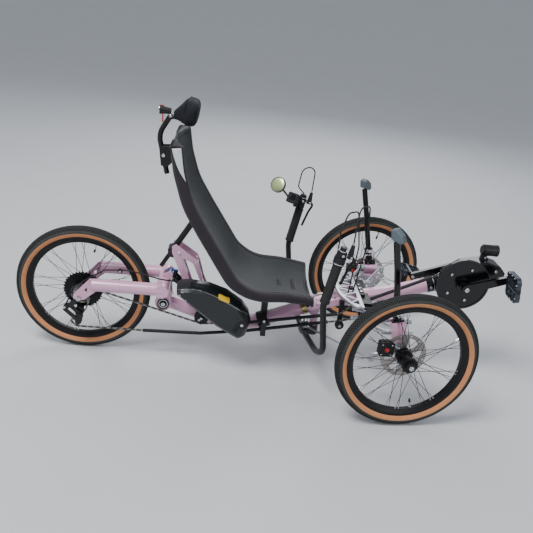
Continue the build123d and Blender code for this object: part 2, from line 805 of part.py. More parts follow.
def seat_strut():
    """Telescopic strut from the backrest to a clamp between the mast's plates."""
    x, z = rail_back(strut_cross_x, cross_drop + seat_sag)
    clamp_x, clamp_z = strut_clamp_point
    beyond = (clamp_z - strut_foot_z) / (z - clamp_z)
    foot = Vector(clamp_x + (clamp_x - x) * beyond, 0, strut_foot_z)
    along = (foot - Vector(x, 0, z)).normalized()
    top = Vector(x, 0, z) + along * (cross_tube_radius + fit)
    half = mast_half_width - mast_wall - fit
    body = rod(top, foot - along * 70, 11)
    body += rod(foot - along * 71, foot, 8)
    clamp = from_pivot([(8, 440), (32, 447), (44, 428), (34, 406), (10, 410)])
    return body + side_plate(clamp, -half, half, 4)


def headrest_post():
    """Bent post behind the seat's top, its clamp plates and the pad's stem."""
    x, z = rail_back(post_cross_x, cross_drop + seat_sag)
    top = Vector(*post_top)
    body = pipe([(x - 22, 0, z - 86), (x - 54, 0, z + 48), top], 70, 9)
    for low in (-18, 12):
        plate = [
            (x - 50, z + 10), (x + 2, z + 14), (x + 10, z - 2), (x - 2, z - 40), (x - 20, z - 60),
            (x - 42, z - 56),
        ]
        body += side_plate(plate, low, low + 6, 4)
    body += disc(x - 34, z - 20, 6, -22, 22)
    body += rod(top - Vector(5, 0, 8), (pad_centre[0], 0, pad_centre[2]), 7)
    tube = disc(x, z, cross_tube_radius + fit, -40, 40)
    return body - tube - headrest_pad(fit)


def headrest_pad(extra=0.0):
    """Rounded pad whose back tapers to its clamp on the post, grown by extra as a cutter."""
    depth, width, height = pad_size
    block = Box(depth + 2 * extra, width + 2 * extra, height + 2 * extra)
    pad = Pos(*pad_centre) * Rot(0, 8, 0) * fillet(block.edges(), 24)
    # Columns: x from the post, z from the pad's middle, width and height of each end of the taper
    sections = []
    for x, z, across, high in ((pad_taper, -14, 44, 28), (pad_taper + 36, 0, 112, 66)):
        place = Plane(origin=(post_top[0] + x, 0, pad_centre[2] + z), x_dir=(0, 1, 0), z_dir=(1, 0, 0))
        sections.append(place * RectangleRounded(across + 2 * extra, high + 2 * extra, 12))
    if extra:
        sections[0] = Pos(-extra, 0, 0) * sections[0]
    return pad + loft(sections)


def tail_lamp():
    """Round lamp lying on the post's top, over a small reflector on a stalk."""
    top = Vector(*post_top)
    back = Vector(top.X - 33, 0, top.Z + 18)
    body = cone(back, Vector(top.X + 2, 0, top.Z + 16), 14, 10)
    body += rod(back - Vector(3, 0, 0), back + Vector(2, 0, 0), 15)
    body += Pos(top.X - 25, 0, top.Z - 4) * Box(4, 16, 34)
    return body - rod(top - Vector(40, 0, 63), top + Vector(0.2, 0, 0.3), 9 + fit)


def suspension_plate():
    """Crescent of machined alloy cut into a truss, lying across the main tube."""
    back_edge = ThreePointArc((-136, -152), (-191.5, 0), (-136, 152))
    outline = make_face(Polyline((-136, 152), (-108, 152), (-108, -152), (-136, -152)) + back_edge)
    # Corners of the truss's ribs (x, y) in turn, from the left side to the right
    ribs = [
        (-118, 140), (-150, 118), (-118, 88), (-176, 62), (-118, 30), (-186, 0), (-118, -30), (-176, -62),
        (-118, -88), (-150, -118), (-118, -140),
    ]
    for corners in zip(ribs, ribs[1:], ribs[2:]):
        outline -= offset(flat(list(corners)), -rib_half_width, kind=Kind.INTERSECTION)
    return Pos(0, 0, plate_low) * extrude(outline, amount=plate_thickness, dir=(0, 0, 1))


def subframe():
    """Slim ring of black plates about the main tube that carries the arms' inner pivots."""
    wall = 7.0
    height = subframe_top - subframe_bottom
    ring = Rectangle(2 * side_wall_y, height) - Rectangle(2 * (side_wall_y - wall), height - 2 * wall)
    rear = subframe_x - subframe_length / 2
    place = Plane(origin=(rear, 0, subframe_bottom + height / 2), x_dir=(0, 1, 0), z_dir=(1, 0, 0))
    body = extrude(place * ring, amount=subframe_length)
    saddle_height = tube_centre(subframe_x) - subframe_bottom
    saddle = Box(subframe_length - 8, 44, saddle_height)
    body += Pos(subframe_x, 0, subframe_bottom + saddle_height / 2) * saddle
    # Way for the drive run's tube through the top wall
    body -= chain_tube_runs(chain_tube_radius + 2)[-1]
    reach = Vector(pivot_half_length, 0, 0)
    gusset = arm_inner_y - side_wall_y + 4
    for side in (-1, 1):
        for z in (upper_arm_z, lower_arm_z):
            centre = Vector(subframe_x, side * arm_inner_y, z)
            body += rod(centre - reach, centre + reach, pivot_barrel_radius)
            web = Box(subframe_length, gusset, 12)
            body += Pos(subframe_x, side * (side_wall_y + arm_inner_y) / 2, z) * web
    return body - main_tube(fit)


def post_points(side):
    return [(x, side * (kingpin_y + y), z) for x, y, z in post_line]


def assist_posts():
    """Curved posts on the housings that the rider pushes on to stand up, each in its socket."""
    posts = []
    for side in (-1, 1):
        points = post_points(side)
        foot, along = Vector(*points[0]), (Vector(*points[1]) - Vector(*points[0])).normalized()
        post = pipe(points, 400, post_radius)
        post += rod(foot - along * 10, foot + along * 38, post_radius + 3)
        post += rod(foot + along * 40, foot + along * 58, post_radius + 6)
        post += rod(foot + along * 37, foot + along * 41, post_radius + 1)
        post += housing_block(side, housing_top + fit, housing_top + 7, -2)
        posts.append(post - housing_block(side, housing_bottom, housing_top + fit, 4))
    return posts


def assist_caps():
    """Palm rests that slope down forward and outward on the posts' tops."""
    caps = []
    outline = [(-22, 37), (-4, 44), (20, 26), (28, 5), (19, -4), (-17, 8)]
    for side in (-1, 1):
        x, y, z = post_points(side)[-1]
        cap = side_plate(outline, -cap_half_width, cap_half_width, 6)
        cap = chamfer(cap.faces().sort_by(Axis.Y)[0].edges(), 4)
        cap = chamfer(cap.faces().sort_by(Axis.Y)[-1].edges(), 4)
        cap = Pos(x, y, z) * Rot(0, 0, side * cap_turn) * cap
        below = post_points(side)[1]
        caps.append(cap - pipe([below, (x, y, z)], 0, post_radius + fit))
    return caps


# Drivetrain
def cassette():
    """Ten toothed sprockets on their carrier, built about the rear axle."""
    body = rod((0, cassette_inner_y - 2, 0), (0, cassette_outer_y, 0), 20)
    pitch = (cassette_inner_y - cassette_outer_y - 2) / (cassette_sprockets - 1)
    for index in range(cassette_sprockets):
        share = index / (cassette_sprockets - 1)
        radius = cassette_big_radius + (cassette_small_radius - cassette_big_radius) * share
        body += Pos(0, cassette_inner_y - index * pitch, 0) * sprocket(radius, 1.8, 15)
    return body - rod((0, 0, 0), (0, cassette_outer_y - 5, 0), 12 + running_fit)


def rear_wheel():
    wheel = rim()
    barrel = rod((0, -12, 0), (0, 58, 0), 18)
    barrel += rod((0, -66, 0), (0, 66, 0), 12)
    for place in (-8, 40):
        barrel += rod((0, place - 4, 0), (0, place + 4, 0), 29)
    barrel -= rod((0, -70, 0), (0, 70, 0), rear_axle_radius + running_fit)
    return wheel.fuse(barrel, *spokes(-8, 40, 29))


def crankset():
    """Axle, two crank arms, toothed chainring on its spider and the guard disc outside it."""
    body = rod((0, -crank_offset - 8, 0), (0, crank_offset + 8, 0), shaft_radius)
    lean = math.radians(crank_turn)
    for side, sign in ((-1, 1), (1, -1)):
        y = side * crank_offset
        end = Vector(sign * crank_length * math.cos(lean), y, sign * crank_length * math.sin(lean))
        arm = Plane(origin=(0, y + 7, 0), x_dir=(math.cos(lean), 0, math.sin(lean)), z_dir=(0, -1, 0))
        taper = flat([(0, -17), (0, 17), (sign * crank_length, 13), (sign * crank_length, -13)])
        shape = taper + Circle(17) + Pos(sign * crank_length, 0) * Circle(13)
        body += extrude(arm * shape, amount=14)
        body += rod(end, end + Vector(0, side * (7 + pedal_gap + pedal_width - 6), 0), 4.5)
    body += disc(0, 0, guard_radius, guard_y, guard_y + guard_thickness)
    rim_inside = guard_radius - guard_rim
    rim_back = guard_y + guard_thickness + 3
    edge = disc(0, 0, guard_radius, guard_y - 2, rim_back)
    body += edge - disc(0, 0, rim_inside, guard_y - 3, rim_back + 1)
    body += disc(0, 0, 26, guard_y - 6, guard_y + 16)
    body += Pos(0, chain_y + 1, 0) * sprocket(chainring_radius, 2, chainring_radius - 16)
    for index in range(5):
        angle = math.radians(72 * index + 71)
        x, z = (chainring_radius - 12) * math.cos(angle), (chainring_radius - 12) * math.sin(angle)
        body += disc(x, z, 6, guard_y - 2, chain_y)
    return body


def pedal(side):
    """A cage pedal about its spindle, built at the origin with the spindle along Y."""
    inner = 7 + pedal_gap
    cage = RectangleRounded(pedal_length, pedal_width, 16)
    cage -= RectangleRounded(pedal_length - 2 * pedal_wall, pedal_width - 2 * pedal_wall, 10)
    cage = Pos(0, 0, -pedal_depth / 2) * extrude(cage, amount=pedal_depth)
    for y in (-14, 14):
        cage += Pos(0, y, 0) * Box(pedal_length - pedal_wall, 5, pedal_depth - 5)
    for x in (-25, 25):
        cage += Pos(x, 0, 0) * Box(5, pedal_width - pedal_wall, pedal_depth - 8)
    cage = Pos(0, inner + pedal_width / 2, 0) * cage
    cage += rod((0, inner, 0), (0, inner + pedal_width, 0), 9)
    cage -= rod((0, inner - 1, 0), (0, inner + pedal_width - 5, 0), 4.5 + running_fit)
    return cage if side > 0 else mirrored(cage)


def crank_end(side):
    lean = math.radians(crank_turn)
    sign = -side
    x = crank_x + sign * crank_length * math.cos(lean)
    z = crank_z + sign * crank_length * math.sin(lean)
    return Vector(x, side * crank_offset, z)


# Chain run
def pulley(x, z, radius):
    """A flanged guide wheel on its bolt and spacer, reaching in to the frame."""
    wheel = disc(x, z, radius + 4, chain_y - 5.5, chain_y + 5.5)
    core = disc(x, z, radius - 4, chain_y - 4, chain_y + 4)
    wheel -= disc(x, z, radius + 6, chain_y - 4, chain_y + 4) - core
    return wheel + disc(x, z, 6, chain_y - 9, chain_y + 12)


def idlers():
    """Two guide pulleys beside the main tube, each on a stay from the tube or the mast."""
    body = []
    for x, z, radius, root_y in pulleys:
        wheel = pulley(x, z, radius)
        foot_z = tube_centre(x) if root_y == 0 else z
        stay = [(x - 9, z - 9), (x + 9, z - 9), (x + 9, foot_z + 9), (x - 9, foot_z + 9)]
        wheel += side_plate(stay, chain_y + 8, chain_y + 14)
        wheel += Pos(x, (chain_y + 8 + root_y) / 2, foot_z) * Box(18, root_y - chain_y - 8, 12)
        body.append(wheel - main_tube(fit))
    return body


def chain_tube_runs(radius, bore=0):
    """The chain tubes' runs, for the tubes themselves and for what holds them."""
    runs = []
    for line in chain_tube_lines:
        runs.append(pipe([(x, chain_y, z) for x, z in line], chain_tube_turn, radius, bore))
    return runs


def chain_tubes():
    """Slick plastic tubes round the chain's long runs."""
    return chain_tube_runs(chain_tube_radius, chain_tube_radius - 1.5)


def strip(x0, z0, x1, z1):
    """A straight run of chain between two side-view points."""
    along = Vector(x1 - x0, z1 - z0).normalized()
    dx, dz = -along.Y * chain_height / 2, along.X * chain_height / 2
    corners = [(x0 + dx, z0 + dz), (x1 + dx, z1 + dz), (x1 - dx, z1 - dz), (x0 - dx, z0 - dz)]
    return side_plate(corners, chain_y - chain_half_width, chain_y + chain_half_width)


def wrap(x, z, radius, first, last):
    """Chain bent round a sprocket from one angle to another, in degrees from straight ahead."""
    ring = Circle(radius + fit + chain_height) - Circle(radius + fit)
    reach = 2 * (radius + chain_height)
    steps = max(2, math.ceil((last - first) / 60))
    fan = [(0.0, 0.0)]
    for index in range(steps + 1):
        angle = math.radians(first + (last - first) * index / steps)
        fan.append((reach * math.cos(angle), reach * math.sin(angle)))
    band = extrude(Plane.XZ * (ring & flat(fan)), amount=2 * chain_half_width)
    return Pos(x, chain_y + chain_half_width, z) * band


def on_circle(x, z, radius, degrees):
    angle = math.radians(degrees)
    return x + radius * math.cos(angle), z + radius * math.sin(angle)


def chain():
    """The whole chain: two long runs, bent round the chainring, the cassette and the cage."""
    rx, rz = rear_axle
    half = fit + chain_height / 2
    cassette_r = chain_sprocket_radius
    body = wrap(crank_x, crank_z, chainring_radius + 1.4, -75, 120) + wrap(rx, rz, cassette_r, 75, 330)
    ring = chainring_radius + 1.4 + half
    front_top = on_circle(crank_x, crank_z, ring, 120)
    front_low = on_circle(crank_x, crank_z, ring, -75)
    rear_top = on_circle(rx, rz, cassette_r + half, 75)
    rear_low = on_circle(rx, rz, cassette_r + half, 330)
    upper_tube, lower_tube, front_tube = chain_tube_lines
    idler_x, idler_z, idler_radius, _ = pulleys[0]
    under_idler = (idler_x, idler_z - idler_radius - half)
    drive = [front_top, (152, 420), (-130, 276), (-170, 238), upper_tube[0], under_idler, rear_top]
    cage = [(rx - 11, 108), (rx - 25, 112), (rx - 40, 128), (rx + 14, 178)]
    back = [front_low, (-168, 208), (-203, 201), *lower_tube[-2::-1], *cage, rear_low]
    for run in (drive, back):
        for (x0, z0), (x1, z1) in zip(run, run[1:]):
            body += strip(x0, z0, x1, z1)
        for x, z in run[1:-1]:
            body += disc(x, z, chain_height / 2, chain_y - chain_half_width, chain_y + chain_half_width)
    return body


def derailleur():
    """Hanger, two knuckles joined by a parallelogram, and a cage with two jockey wheels."""
    rx, rz = rear_axle
    outer_y = chain_y - 8
    body = None
    cage = [
        (rx - 19, 191), (rx - 6, 198), (rx + 7, 191), (rx + 9, 170), (rx + 2, 155), (rx - 1, 124), (rx - 12, 117),
        (rx - 24, 124), (rx - 22, 152),
    ]
    for low in (outer_y, chain_y + 5.5):
        plate = side_plate(cage, low, low + 2.5, 4)
        plate -= side_plate([(rx - 17, 150), (rx - 9, 142), (rx - 17, 138)], low - 1, low + 4)
        body = plate if body is None else body + plate
    for x, z in ((rx - 6, 184), (rx - 12, 130)):
        body += Pos(x, chain_y + 1.2, z) * sprocket(11.2, 2.4, 4)
        body += disc(x, z, 4, outer_y, chain_y + 8)
    lower = (rx - 5, 157)
    upper = (rx - 50, 200)
    body += disc(*lower, 13, outer_y - 15, outer_y + 1)
    body += disc(*upper, 10, outer_y - 20, outer_y - 2)
    # Columns: shift of each link across the parallelogram, low y, high y
    for shift, low, high in ((-7, outer_y - 19, outer_y - 14), (7, outer_y - 9, outer_y - 4)):
        link = []
        for knuckle_point, half_width in ((upper, -5), (upper, 5), (lower, 5), (lower, -5)):
            link.append(tuple(place + shift + half_width for place in knuckle_point))
        body += side_plate(link, low, high, 2)
    hanger = [
        (rx - 20, rz - 15), (rx - 2, rz - 13), (rx - 14, rz - 34), (rx - 44, rz - 54), (rx - 58, rz - 46),
    ]
    return body + side_plate(hanger, outer_y - 18, outer_y - 8, 3)


def rear_cable():
    """Gear cable over the right arm, from the mast to the derailleur."""
    rx, rz = rear_axle
    top = arm_cross_point[1] + arm_radius
    points = [
        (pivot_x + 90, -mast_half_width - cable_radius - fit, 322), (pivot_x + 50, -56, 326),
        (pivot_x - 10, -80, top + 20), (pivot_x - 119, -80, top + 46), (rx + 92, -70, top + 36),
        (rx + 30, -64, top - 6), (rx - 24, -64, rz + 30), (rx - 50, -64, rz - 36),
    ]
    return pipe(points, 34, cable_radius)


def steering_bar():
    """Centre hub and lug plate, with one bent tube on each side up to the grips."""
    hub_low = bar_height - 16
    body = rod((0, 0, hub_low), (0, 0, bar_height + 22 - fit), 19)
    lug_top = rod_eye_height - rod_eye_thickness / 2 - fit
    body += Pos(-rod_pin_back + 2, 0, lug_top - 4) * Box(34, 2 * rod_pin_side + 22, 8)
    body += Pos(-22, 0, bar_height) * Box(60, 40, 20)
    left = pipe(bar_line, bar_bends, bar_tube_radius)
    body += left + mirrored(left)
    for side in (-1, 1):
        foot = Vector(-rod_pin_back, side * rod_pin_side, lug_top - 4)
        body += rod(foot, foot + Vector(0, 0, rod_eye_thickness + 8), rod_pin_radius)
    return body - rod((0, 0, hub_low - 1), (0, 0, bar_height + 30), 8 + running_fit)


def on_bar(shape):
    """Places a piece built about the bar's pivot, turned to the parked angle."""
    return Pos(bar_pivot_x, 0, 0) * Rot(0, 0, bar_rest) * shape


def along_bar(z):
    """Point of the left grip's centre line at a height."""
    (x0, y0, z0), (x1, y1, z1) = bar_line[-2:]
    return Vector(x0 + (x1 - x0) * (z - z0) / (z1 - z0), y0, z)


def grips():
    low, high = along_bar(398), along_bar(540)
    beyond = (high - low).normalized() * 5
    sleeve = rod(low, high, grip_radius) - rod(low - beyond, high + beyond, bar_tube_radius + fit)
    return [sleeve, mirrored(sleeve)]


def mirrored_point(point):
    return Vector(point.X, -point.Y, point.Z)


def hand_controls():
    """Twist shifter on the right, and on each side a brake lever on its clamp."""
    pieces = []
    bar = rod(along_bar(400), along_bar(620), bar_tube_radius + fit)
    for side in (-1, 1):
        low, high = along_bar(566), along_bar(582)
        lever = rod(low, high, 17)
        blade = [(0, 0, -8), (30, 0, -14), (46, 0, -26), (30, 0, -56), (10, 0, -116)]
        lever += pipe([high + Vector(*step) for step in blade], [12, 12, 40], 4.5)
        lever += cone(high + Vector(28, 0, -22), high + Vector(34, 0, 24), 11, 6)
        lever -= bar
        pieces.append(lever if side > 0 else mirrored(lever))
    shifter = rod(along_bar(541), along_bar(565), 20) - bar
    pieces.append(mirrored(shifter))
    return pieces


def display():
    """Small screen above the left grip on its own clamp, turned to face the rider."""
    foot = along_bar(590)
    body = rod(foot, along_bar(593), 15) - rod(along_bar(400), along_bar(620), bar_tube_radius + fit)
    body += rod(foot + Vector(-10, -8, 1), foot + display_offset, 4)
    screen = fillet(Box(12, 46, 42).edges().filter_by(Axis.X), 6)
    return body + Pos(foot + display_offset) * Rot(0, 0, display_turn) * Rot(0, display_lean, 0) * screen


def control_cables():
    """Cable loops over the two levers: the left one back to the bar, the right ones to the frame."""
    nipple = along_bar(582) + Vector(34, 0, 24 + fit)
    tip = along_bar(599) + Vector(0, 0, 2 + fit) - nipple
    # Corners of each loop from where it starts (x, y, z)
    back_loop = [(0, 0, 0), (4, 0, 96), (-46, 0, 112), (-58, 2, 22), (tip.X, tip.Y, tip.Z)]
    long_loop = [(0, 0, 0), (2, 4, 62), (14, 26, 118), (66, 78, 108), (94, 118, -58), (100, 186, -262)]
    short_loop = [(0, 0, 0), (0, 4, 96), (26, 26, 150), (76, 72, 140), (112, 108, 0), (122, 160, -206)]
    shifter = mirrored_point(along_bar(548)) + Vector(0, 20 + fit + cable_radius, 0)
    # Columns: where each cable starts, its corners and the radius of each bend
    loops = [
        (nipple, back_loop, [26, 30, 20]),
        (mirrored_point(nipple), long_loop, [40, 30, 30, 80]),
        (shifter, short_loop, [34, 26, 26, 80]),
    ]
    cables = []
    for start, loop, bends in loops:
        cables.append(pipe([start + Vector(*step) for step in loop], bends, cable_radius))
    return cables


def mirror_arm():
    """Round mirror on a bent stem clamped under the left lever."""
    low, high = along_bar(545), along_bar(563)
    body = rod(low, high, 16) - rod(along_bar(400), along_bar(620), bar_tube_radius + fit)
    start = along_bar(554) + Vector(-12, 6, 0)
    joint = mirror_centre - mirror_face * 16
    body += pipe([start, start + Vector(-26, 30, 12), joint], [16], 4)
    body += rod(joint - mirror_face * 4, mirror_centre, 7)
    body += rod(mirror_centre - mirror_face * 3, mirror_centre + mirror_face * 6, mirror_radius)
    knob = along_bar(554)
    body += rod(knob - Vector(15, 2, 0), knob - Vector(30, 6, 0), 7)
    return body


def tie_rod(side, rest):
    """Rod from the bar's lug to just under the steering arm."""
    pin = Vector(-rod_pin_back, side * rod_pin_side, 0)
    pin = Vector(bar_pivot_x, 0, 0) + pin.rotate(Axis.Z, bar_rest)
    pin = Vector(pin.X, pin.Y, rod_eye_height)
    ball = Vector(steering_arm_end[0], side * steering_arm_end[1], steering_arm_end[2])
    ball = turned(ball, kingpin_axis(side), rest)
    end = ball - Vector(0, 0, 5 + rod_end_gap + rod_eye_thickness / 2)
    half = Vector(0, 0, rod_eye_thickness / 2)
    body = rod(pin - half, pin + half, rod_eye_radius)
    body += rod(end - half, end + half, rod_eye_radius + 1)
    body += rod(pin + (end - pin).normalized() * (rod_eye_radius - 1.5), end, rod_radius - 1.5)
    return body - rod(pin - half * 2, pin + half * 2, rod_pin_radius + running_fit)


def outer_edge(side, rest):
    """How far a parked front tyre reaches to its own side."""
    turn = kingpin_axis(side)
    centre = turned(straight_centre(side, rest), turn, rest)
    across = wheel_axis(side).rotate(Axis((0, 0, 0), turn.direction), rest).Y
    ring_radius = tyre_radius - tyre_section_radius
    return abs(centre.Y) + ring_radius * math.sqrt(1 - across * across) + tyre_section_radius


def box_shift():
    """Move that brings the middle of the model's box over the origin."""
    front_reach = motor_body().bounding_box().max.X
    rear_reach = wheelbase + tyre_radius
    left, right = outer_edge(1, knuckle_rest_left), outer_edge(-1, knuckle_rest_right)
    return (rear_reach - front_reach) / 2, (right - left) / 2, 0


front_axle_place = box_shift()


def build():
    front_side(1, knuckle_rest_left, "left")
    front_side(-1, knuckle_rest_right, "right")
    rx, rz = rear_axle
    rear = Pos(rx, 0, rz)
    save("tyre_rear", rear * tyre())
    save("wheel_rear", rear * rear_wheel())
    save("cassette", rear * cassette())
    save("main_frame", main_frame())
    save("boom", boom())
    save("sleeve_clamp", sleeve_clamp())
    save("motor", motor())
    save("headlamp", headlamp())
    save("seat_mast", seat_mast())
    save("swingarm", swingarm())
    save("pivot_caps", *pivot_caps())
    save("rear_shock", rear_shock())
    save("battery", battery())
    save("battery_rail", battery_rail())
    save("seat_frame", seat_frame())
    save("seat_mesh", seat_mesh())
    save("seat_clamp", seat_clamp())
    save("seat_strut", seat_strut())
    save("headrest_post", headrest_post())
    save("headrest_pad", headrest_pad())
    save("tail_lamp", tail_lamp())
    save("suspension_plate", suspension_plate())
    save("subframe", subframe())
    save("kingpin_housings", kingpin_housing(1), kingpin_housing(-1))
    save("suspension_arms", *suspension_arms(1), *suspension_arms(-1))
    save("assist_posts", *assist_posts())
    save("assist_caps", *assist_caps())
    save("idlers", *idlers())
    save("chain", chain())
    save("derailleur", derailleur())
    save("rear_cable", rear_cable())
    save("fold_latch", fold_latch())
    save("chain_tubes", *chain_tubes())
    crank = Pos(crank_x, 0, crank_z)
    save("crankset", crank * crankset())
    for side, name in ((-1, "right"), (1, "left")):
        stand = Rot(0, 82 if side < 0 else 12, 0)
        save(f"pedal_{name}", Pos(*crank_end(side)) * stand * pedal(side))
    save("steering_bar", on_bar(steering_bar()))
    save("grips", *[on_bar(grip) for grip in grips()])
    save("hand_controls", *[on_bar(piece) for piece in hand_controls()])
    save("mirror", on_bar(mirror_arm()))
    save("display", on_bar(display()))
    save("control_cables", *[on_bar(cable) for cable in control_cables()])
    save("tie_rod_left", tie_rod(1, knuckle_rest_left))
    save("tie_rod_right", tie_rod(-1, knuckle_rest_right))


build()
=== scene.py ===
import json
from math import acos, copysign, cos, degrees, exp, hypot, pi, radians, sin, tan

import bpy
from mathutils import Matrix, Vector
from mathutils.bvhtree import BVHTree


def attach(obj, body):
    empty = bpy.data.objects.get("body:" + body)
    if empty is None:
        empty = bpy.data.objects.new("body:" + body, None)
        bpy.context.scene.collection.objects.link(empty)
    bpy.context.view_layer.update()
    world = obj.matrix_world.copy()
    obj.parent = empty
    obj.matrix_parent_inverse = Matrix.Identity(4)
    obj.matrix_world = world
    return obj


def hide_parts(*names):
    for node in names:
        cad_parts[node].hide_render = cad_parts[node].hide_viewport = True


# Looks for a recumbent trike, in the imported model's frame: +X forward, +Y the rider's left,
# +Z up. Sizes and places are in millimetres, places from the point on the ground midway
# between the front wheels. Shaders, lamps and modifiers take metres.

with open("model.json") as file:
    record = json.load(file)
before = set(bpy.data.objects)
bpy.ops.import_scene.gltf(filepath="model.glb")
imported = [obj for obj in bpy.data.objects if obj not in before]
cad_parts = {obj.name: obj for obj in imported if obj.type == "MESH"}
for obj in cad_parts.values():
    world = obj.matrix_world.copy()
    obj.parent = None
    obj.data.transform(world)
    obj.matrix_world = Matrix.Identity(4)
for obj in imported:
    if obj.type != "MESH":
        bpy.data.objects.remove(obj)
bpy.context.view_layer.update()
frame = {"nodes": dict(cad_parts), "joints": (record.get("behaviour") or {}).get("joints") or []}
joints = {joint["name"]: joint for joint in frame["joints"]}
nodes = frame["nodes"]

MM = 0.001
# Crank's place from the front axle's ground point, which gives that point's own place
CRANK = (267.0, 0.0, 402.0)
AXLE = Vector(joints["crank_spin"]["pos_m"]) - Vector(CRANK) * MM
ACROSS = Vector((0, 1, 0))
NEAR = Vector((0, -1, 0))
UP = Vector((0, 0, 1))
AHEAD = Vector((1, 0, 0))
SIDES = ((-1, NEAR), (1, ACROSS))


def place(x, y, z):
    """A point given in millimetres from the front axle's ground point."""
    return AXLE + Vector((x, y, z)) * MM


# Materials

GRAIN_DEPTH = 0.0004
THREAD_DEPTH = 0.0006
EDGE_SAMPLES = 4


def material(name):
    made = bpy.data.materials.new(name)
    made.use_nodes = True
    return made, made.node_tree, made.node_tree.nodes["Principled BSDF"]


def constants(made, **values):
    """Sets a shader node's inputs by name, with _ for a blank."""
    for name, value in values.items():
        made.inputs[name.replace("_", " ")].default_value = value


def add(tree, kind, links=(), **values):
    """A shader node with some inputs linked to other nodes' outputs and some constant."""
    made = tree.nodes.new("ShaderNode" + kind)
    for name, output in dict(links).items():
        tree.links.new(output, made.inputs[name])
    constants(made, **values)
    return made


def noise(tree, scale, detail=3.0, roughness=0.55):
    where = {"Vector": add(tree, "TexCoord").outputs["Object"]}
    return add(tree, "TexNoise", where, Scale=scale, Detail=detail, Roughness=roughness).outputs["Fac"]


def spread(tree, value, low, high, from_low=0.3, from_high=0.7):
    """Maps a 0 to 1 value on to a range."""
    limits = {"From_Min": from_low, "From_Max": from_high, "To_Min": low, "To_Max": high}
    return add(tree, "MapRange", {"Value": value}, **limits).outputs["Result"]


def combine(tree, operation, first, second):
    made = add(tree, "Math", {0: first, 1: second})
    made.operation = operation
    return made.outputs["Value"]


def blend_colours(tree, value, first, second):
    ramp = add(tree, "Mix", {"Factor": value})
    ramp.data_type = "RGBA"
    constants(ramp, A=(*first, 1), B=(*second, 1))
    return ramp.outputs["Result"]


def bump(tree, shader, height, strength, distance, rounded=0.0):
    """Fine relief, over edges rounded by a small radius."""
    made = add(tree, "Bump", {"Height": height}, Strength=strength, Distance=distance)
    if rounded:
        edge = add(tree, "Bevel", Radius=rounded)
        edge.samples = EDGE_SAMPLES
        tree.links.new(edge.outputs["Normal"], made.inputs["Normal"])
    tree.links.new(made.outputs["Normal"], shader.inputs["Normal"])


def surface(
    name, colour, rough, metal=0.0, coat=0.0, shade=0.12, grain=900.0, relief=0.08, rounded=0.0008,
    patch=14.0, specular=0.5,
):
    """A hard finish: its colour varies a little in patches and its relief is fine grain."""
    made, tree, shader = material(name)
    constants(shader, Metallic=metal, Specular_IOR_Level=specular, Coat_Weight=coat, Coat_Roughness=0.06)
    dark = [c * (1 - shade) for c in colour]
    light = [min(1.0, c * (1 + shade)) for c in colour]
    tree.links.new(blend_colours(tree, noise(tree, patch), dark, light), shader.inputs["Base Color"])
    scuffs = noise(tree, patch * 6, detail=6.0, roughness=0.7)
    tree.links.new(spread(tree, scuffs, rough * 0.8, min(1.0, rough * 1.25)), shader.inputs["Roughness"])
    bump(tree, shader, noise(tree, grain, detail=2.0), relief, GRAIN_DEPTH, rounded)
    return made


frame_paint = surface("pink_paint", (0.66, 0.36, 0.52), 0.32, coat=0.6, shade=0.03, grain=1400, relief=0.02)
black_anodised = surface("black_anodised", (0.010, 0.010, 0.011), 0.40, specular=0.4)
black_gloss = surface("black_gloss", (0.004, 0.004, 0.005), 0.16, coat=0.25, relief=0.02, specular=0.32)
black_plastic = surface("black_plastic", (0.012, 0.012, 0.014), 0.55, grain=1600, relief=0.3, specular=0.35)
battery_shell = surface(
    "battery_shell", (0.008, 0.011, 0.013), 0.30, coat=0.15, shade=0.2, grain=1800, relief=0.12,
    rounded=0.0015, specular=0.45,
)
soft_rubber = surface("soft_rubber", (0.022, 0.023, 0.022), 0.72, grain=700, relief=0.35, specular=0.3)
grey_rubber = surface(
    "grey_rubber", (0.10, 0.13, 0.15), 0.5, grain=900, relief=0.3, rounded=0.003, specular=0.4
)
machined = surface("machined_alloy", (0.52, 0.53, 0.57), 0.36, metal=1.0, shade=0.08, grain=1200, relief=0.14)
bright_steel = surface("bright_steel", (0.66, 0.66, 0.67), 0.22, metal=1.0, shade=0.1)
dark_steel = surface("dark_steel", (0.10, 0.095, 0.09), 0.34, metal=1.0, shade=0.25)
black_steel = surface("black_steel", (0.022, 0.022, 0.024), 0.30, metal=0.9, shade=0.25)
worn_steel = surface("worn_steel", (0.30, 0.29, 0.28), 0.3, metal=1.0, shade=0.25)
disc_steel = surface("disc_steel", (0.34, 0.32, 0.30), 0.34, metal=1.0, shade=0.2)
cage_metal = surface("cage_metal", (0.07, 0.08, 0.10), 0.30, metal=0.85, shade=0.2)
rim_black = surface("rim_black", (0.005, 0.005, 0.006), 0.38, specular=0.28)
rubber = {"relief": 0.35, "rounded": 0.0, "specular": 0.3}
tread_rubber = surface("tread_rubber", (0.042, 0.045, 0.043), 0.80, shade=0.3, grain=500, patch=30, **rubber)
# Groove floors: the tread rubber painted darker as shade in the recesses
groove_shade_rubber = surface("groove_shade_rubber", (0.016, 0.017, 0.017), 0.85, rounded=0.0, specular=0.2)
tan_wall = surface("tan_wall", (0.56, 0.235, 0.105), 0.72, shade=0.14, grain=2200, patch=45, **rubber)
red_plastic = surface("red_knob", (0.62, 0.014, 0.012), 0.35, coat=0.3)
yellow_label = surface("yellow_label", (0.80, 0.52, 0.015), 0.45, shade=0.04)
blue_knob = surface("blue_knob", (0.02, 0.10, 0.42), 0.3, metal=0.6)
gold_band = surface("gold_band", (0.70, 0.55, 0.25), 0.3, metal=1.0)
white_strip = surface("white_strip", (0.62, 0.66, 0.66), 0.35, shade=0.05, grain=2600, relief=0.5)
red_lens = surface("red_lens", (0.45, 0.010, 0.010), 0.15, coat=0.6)
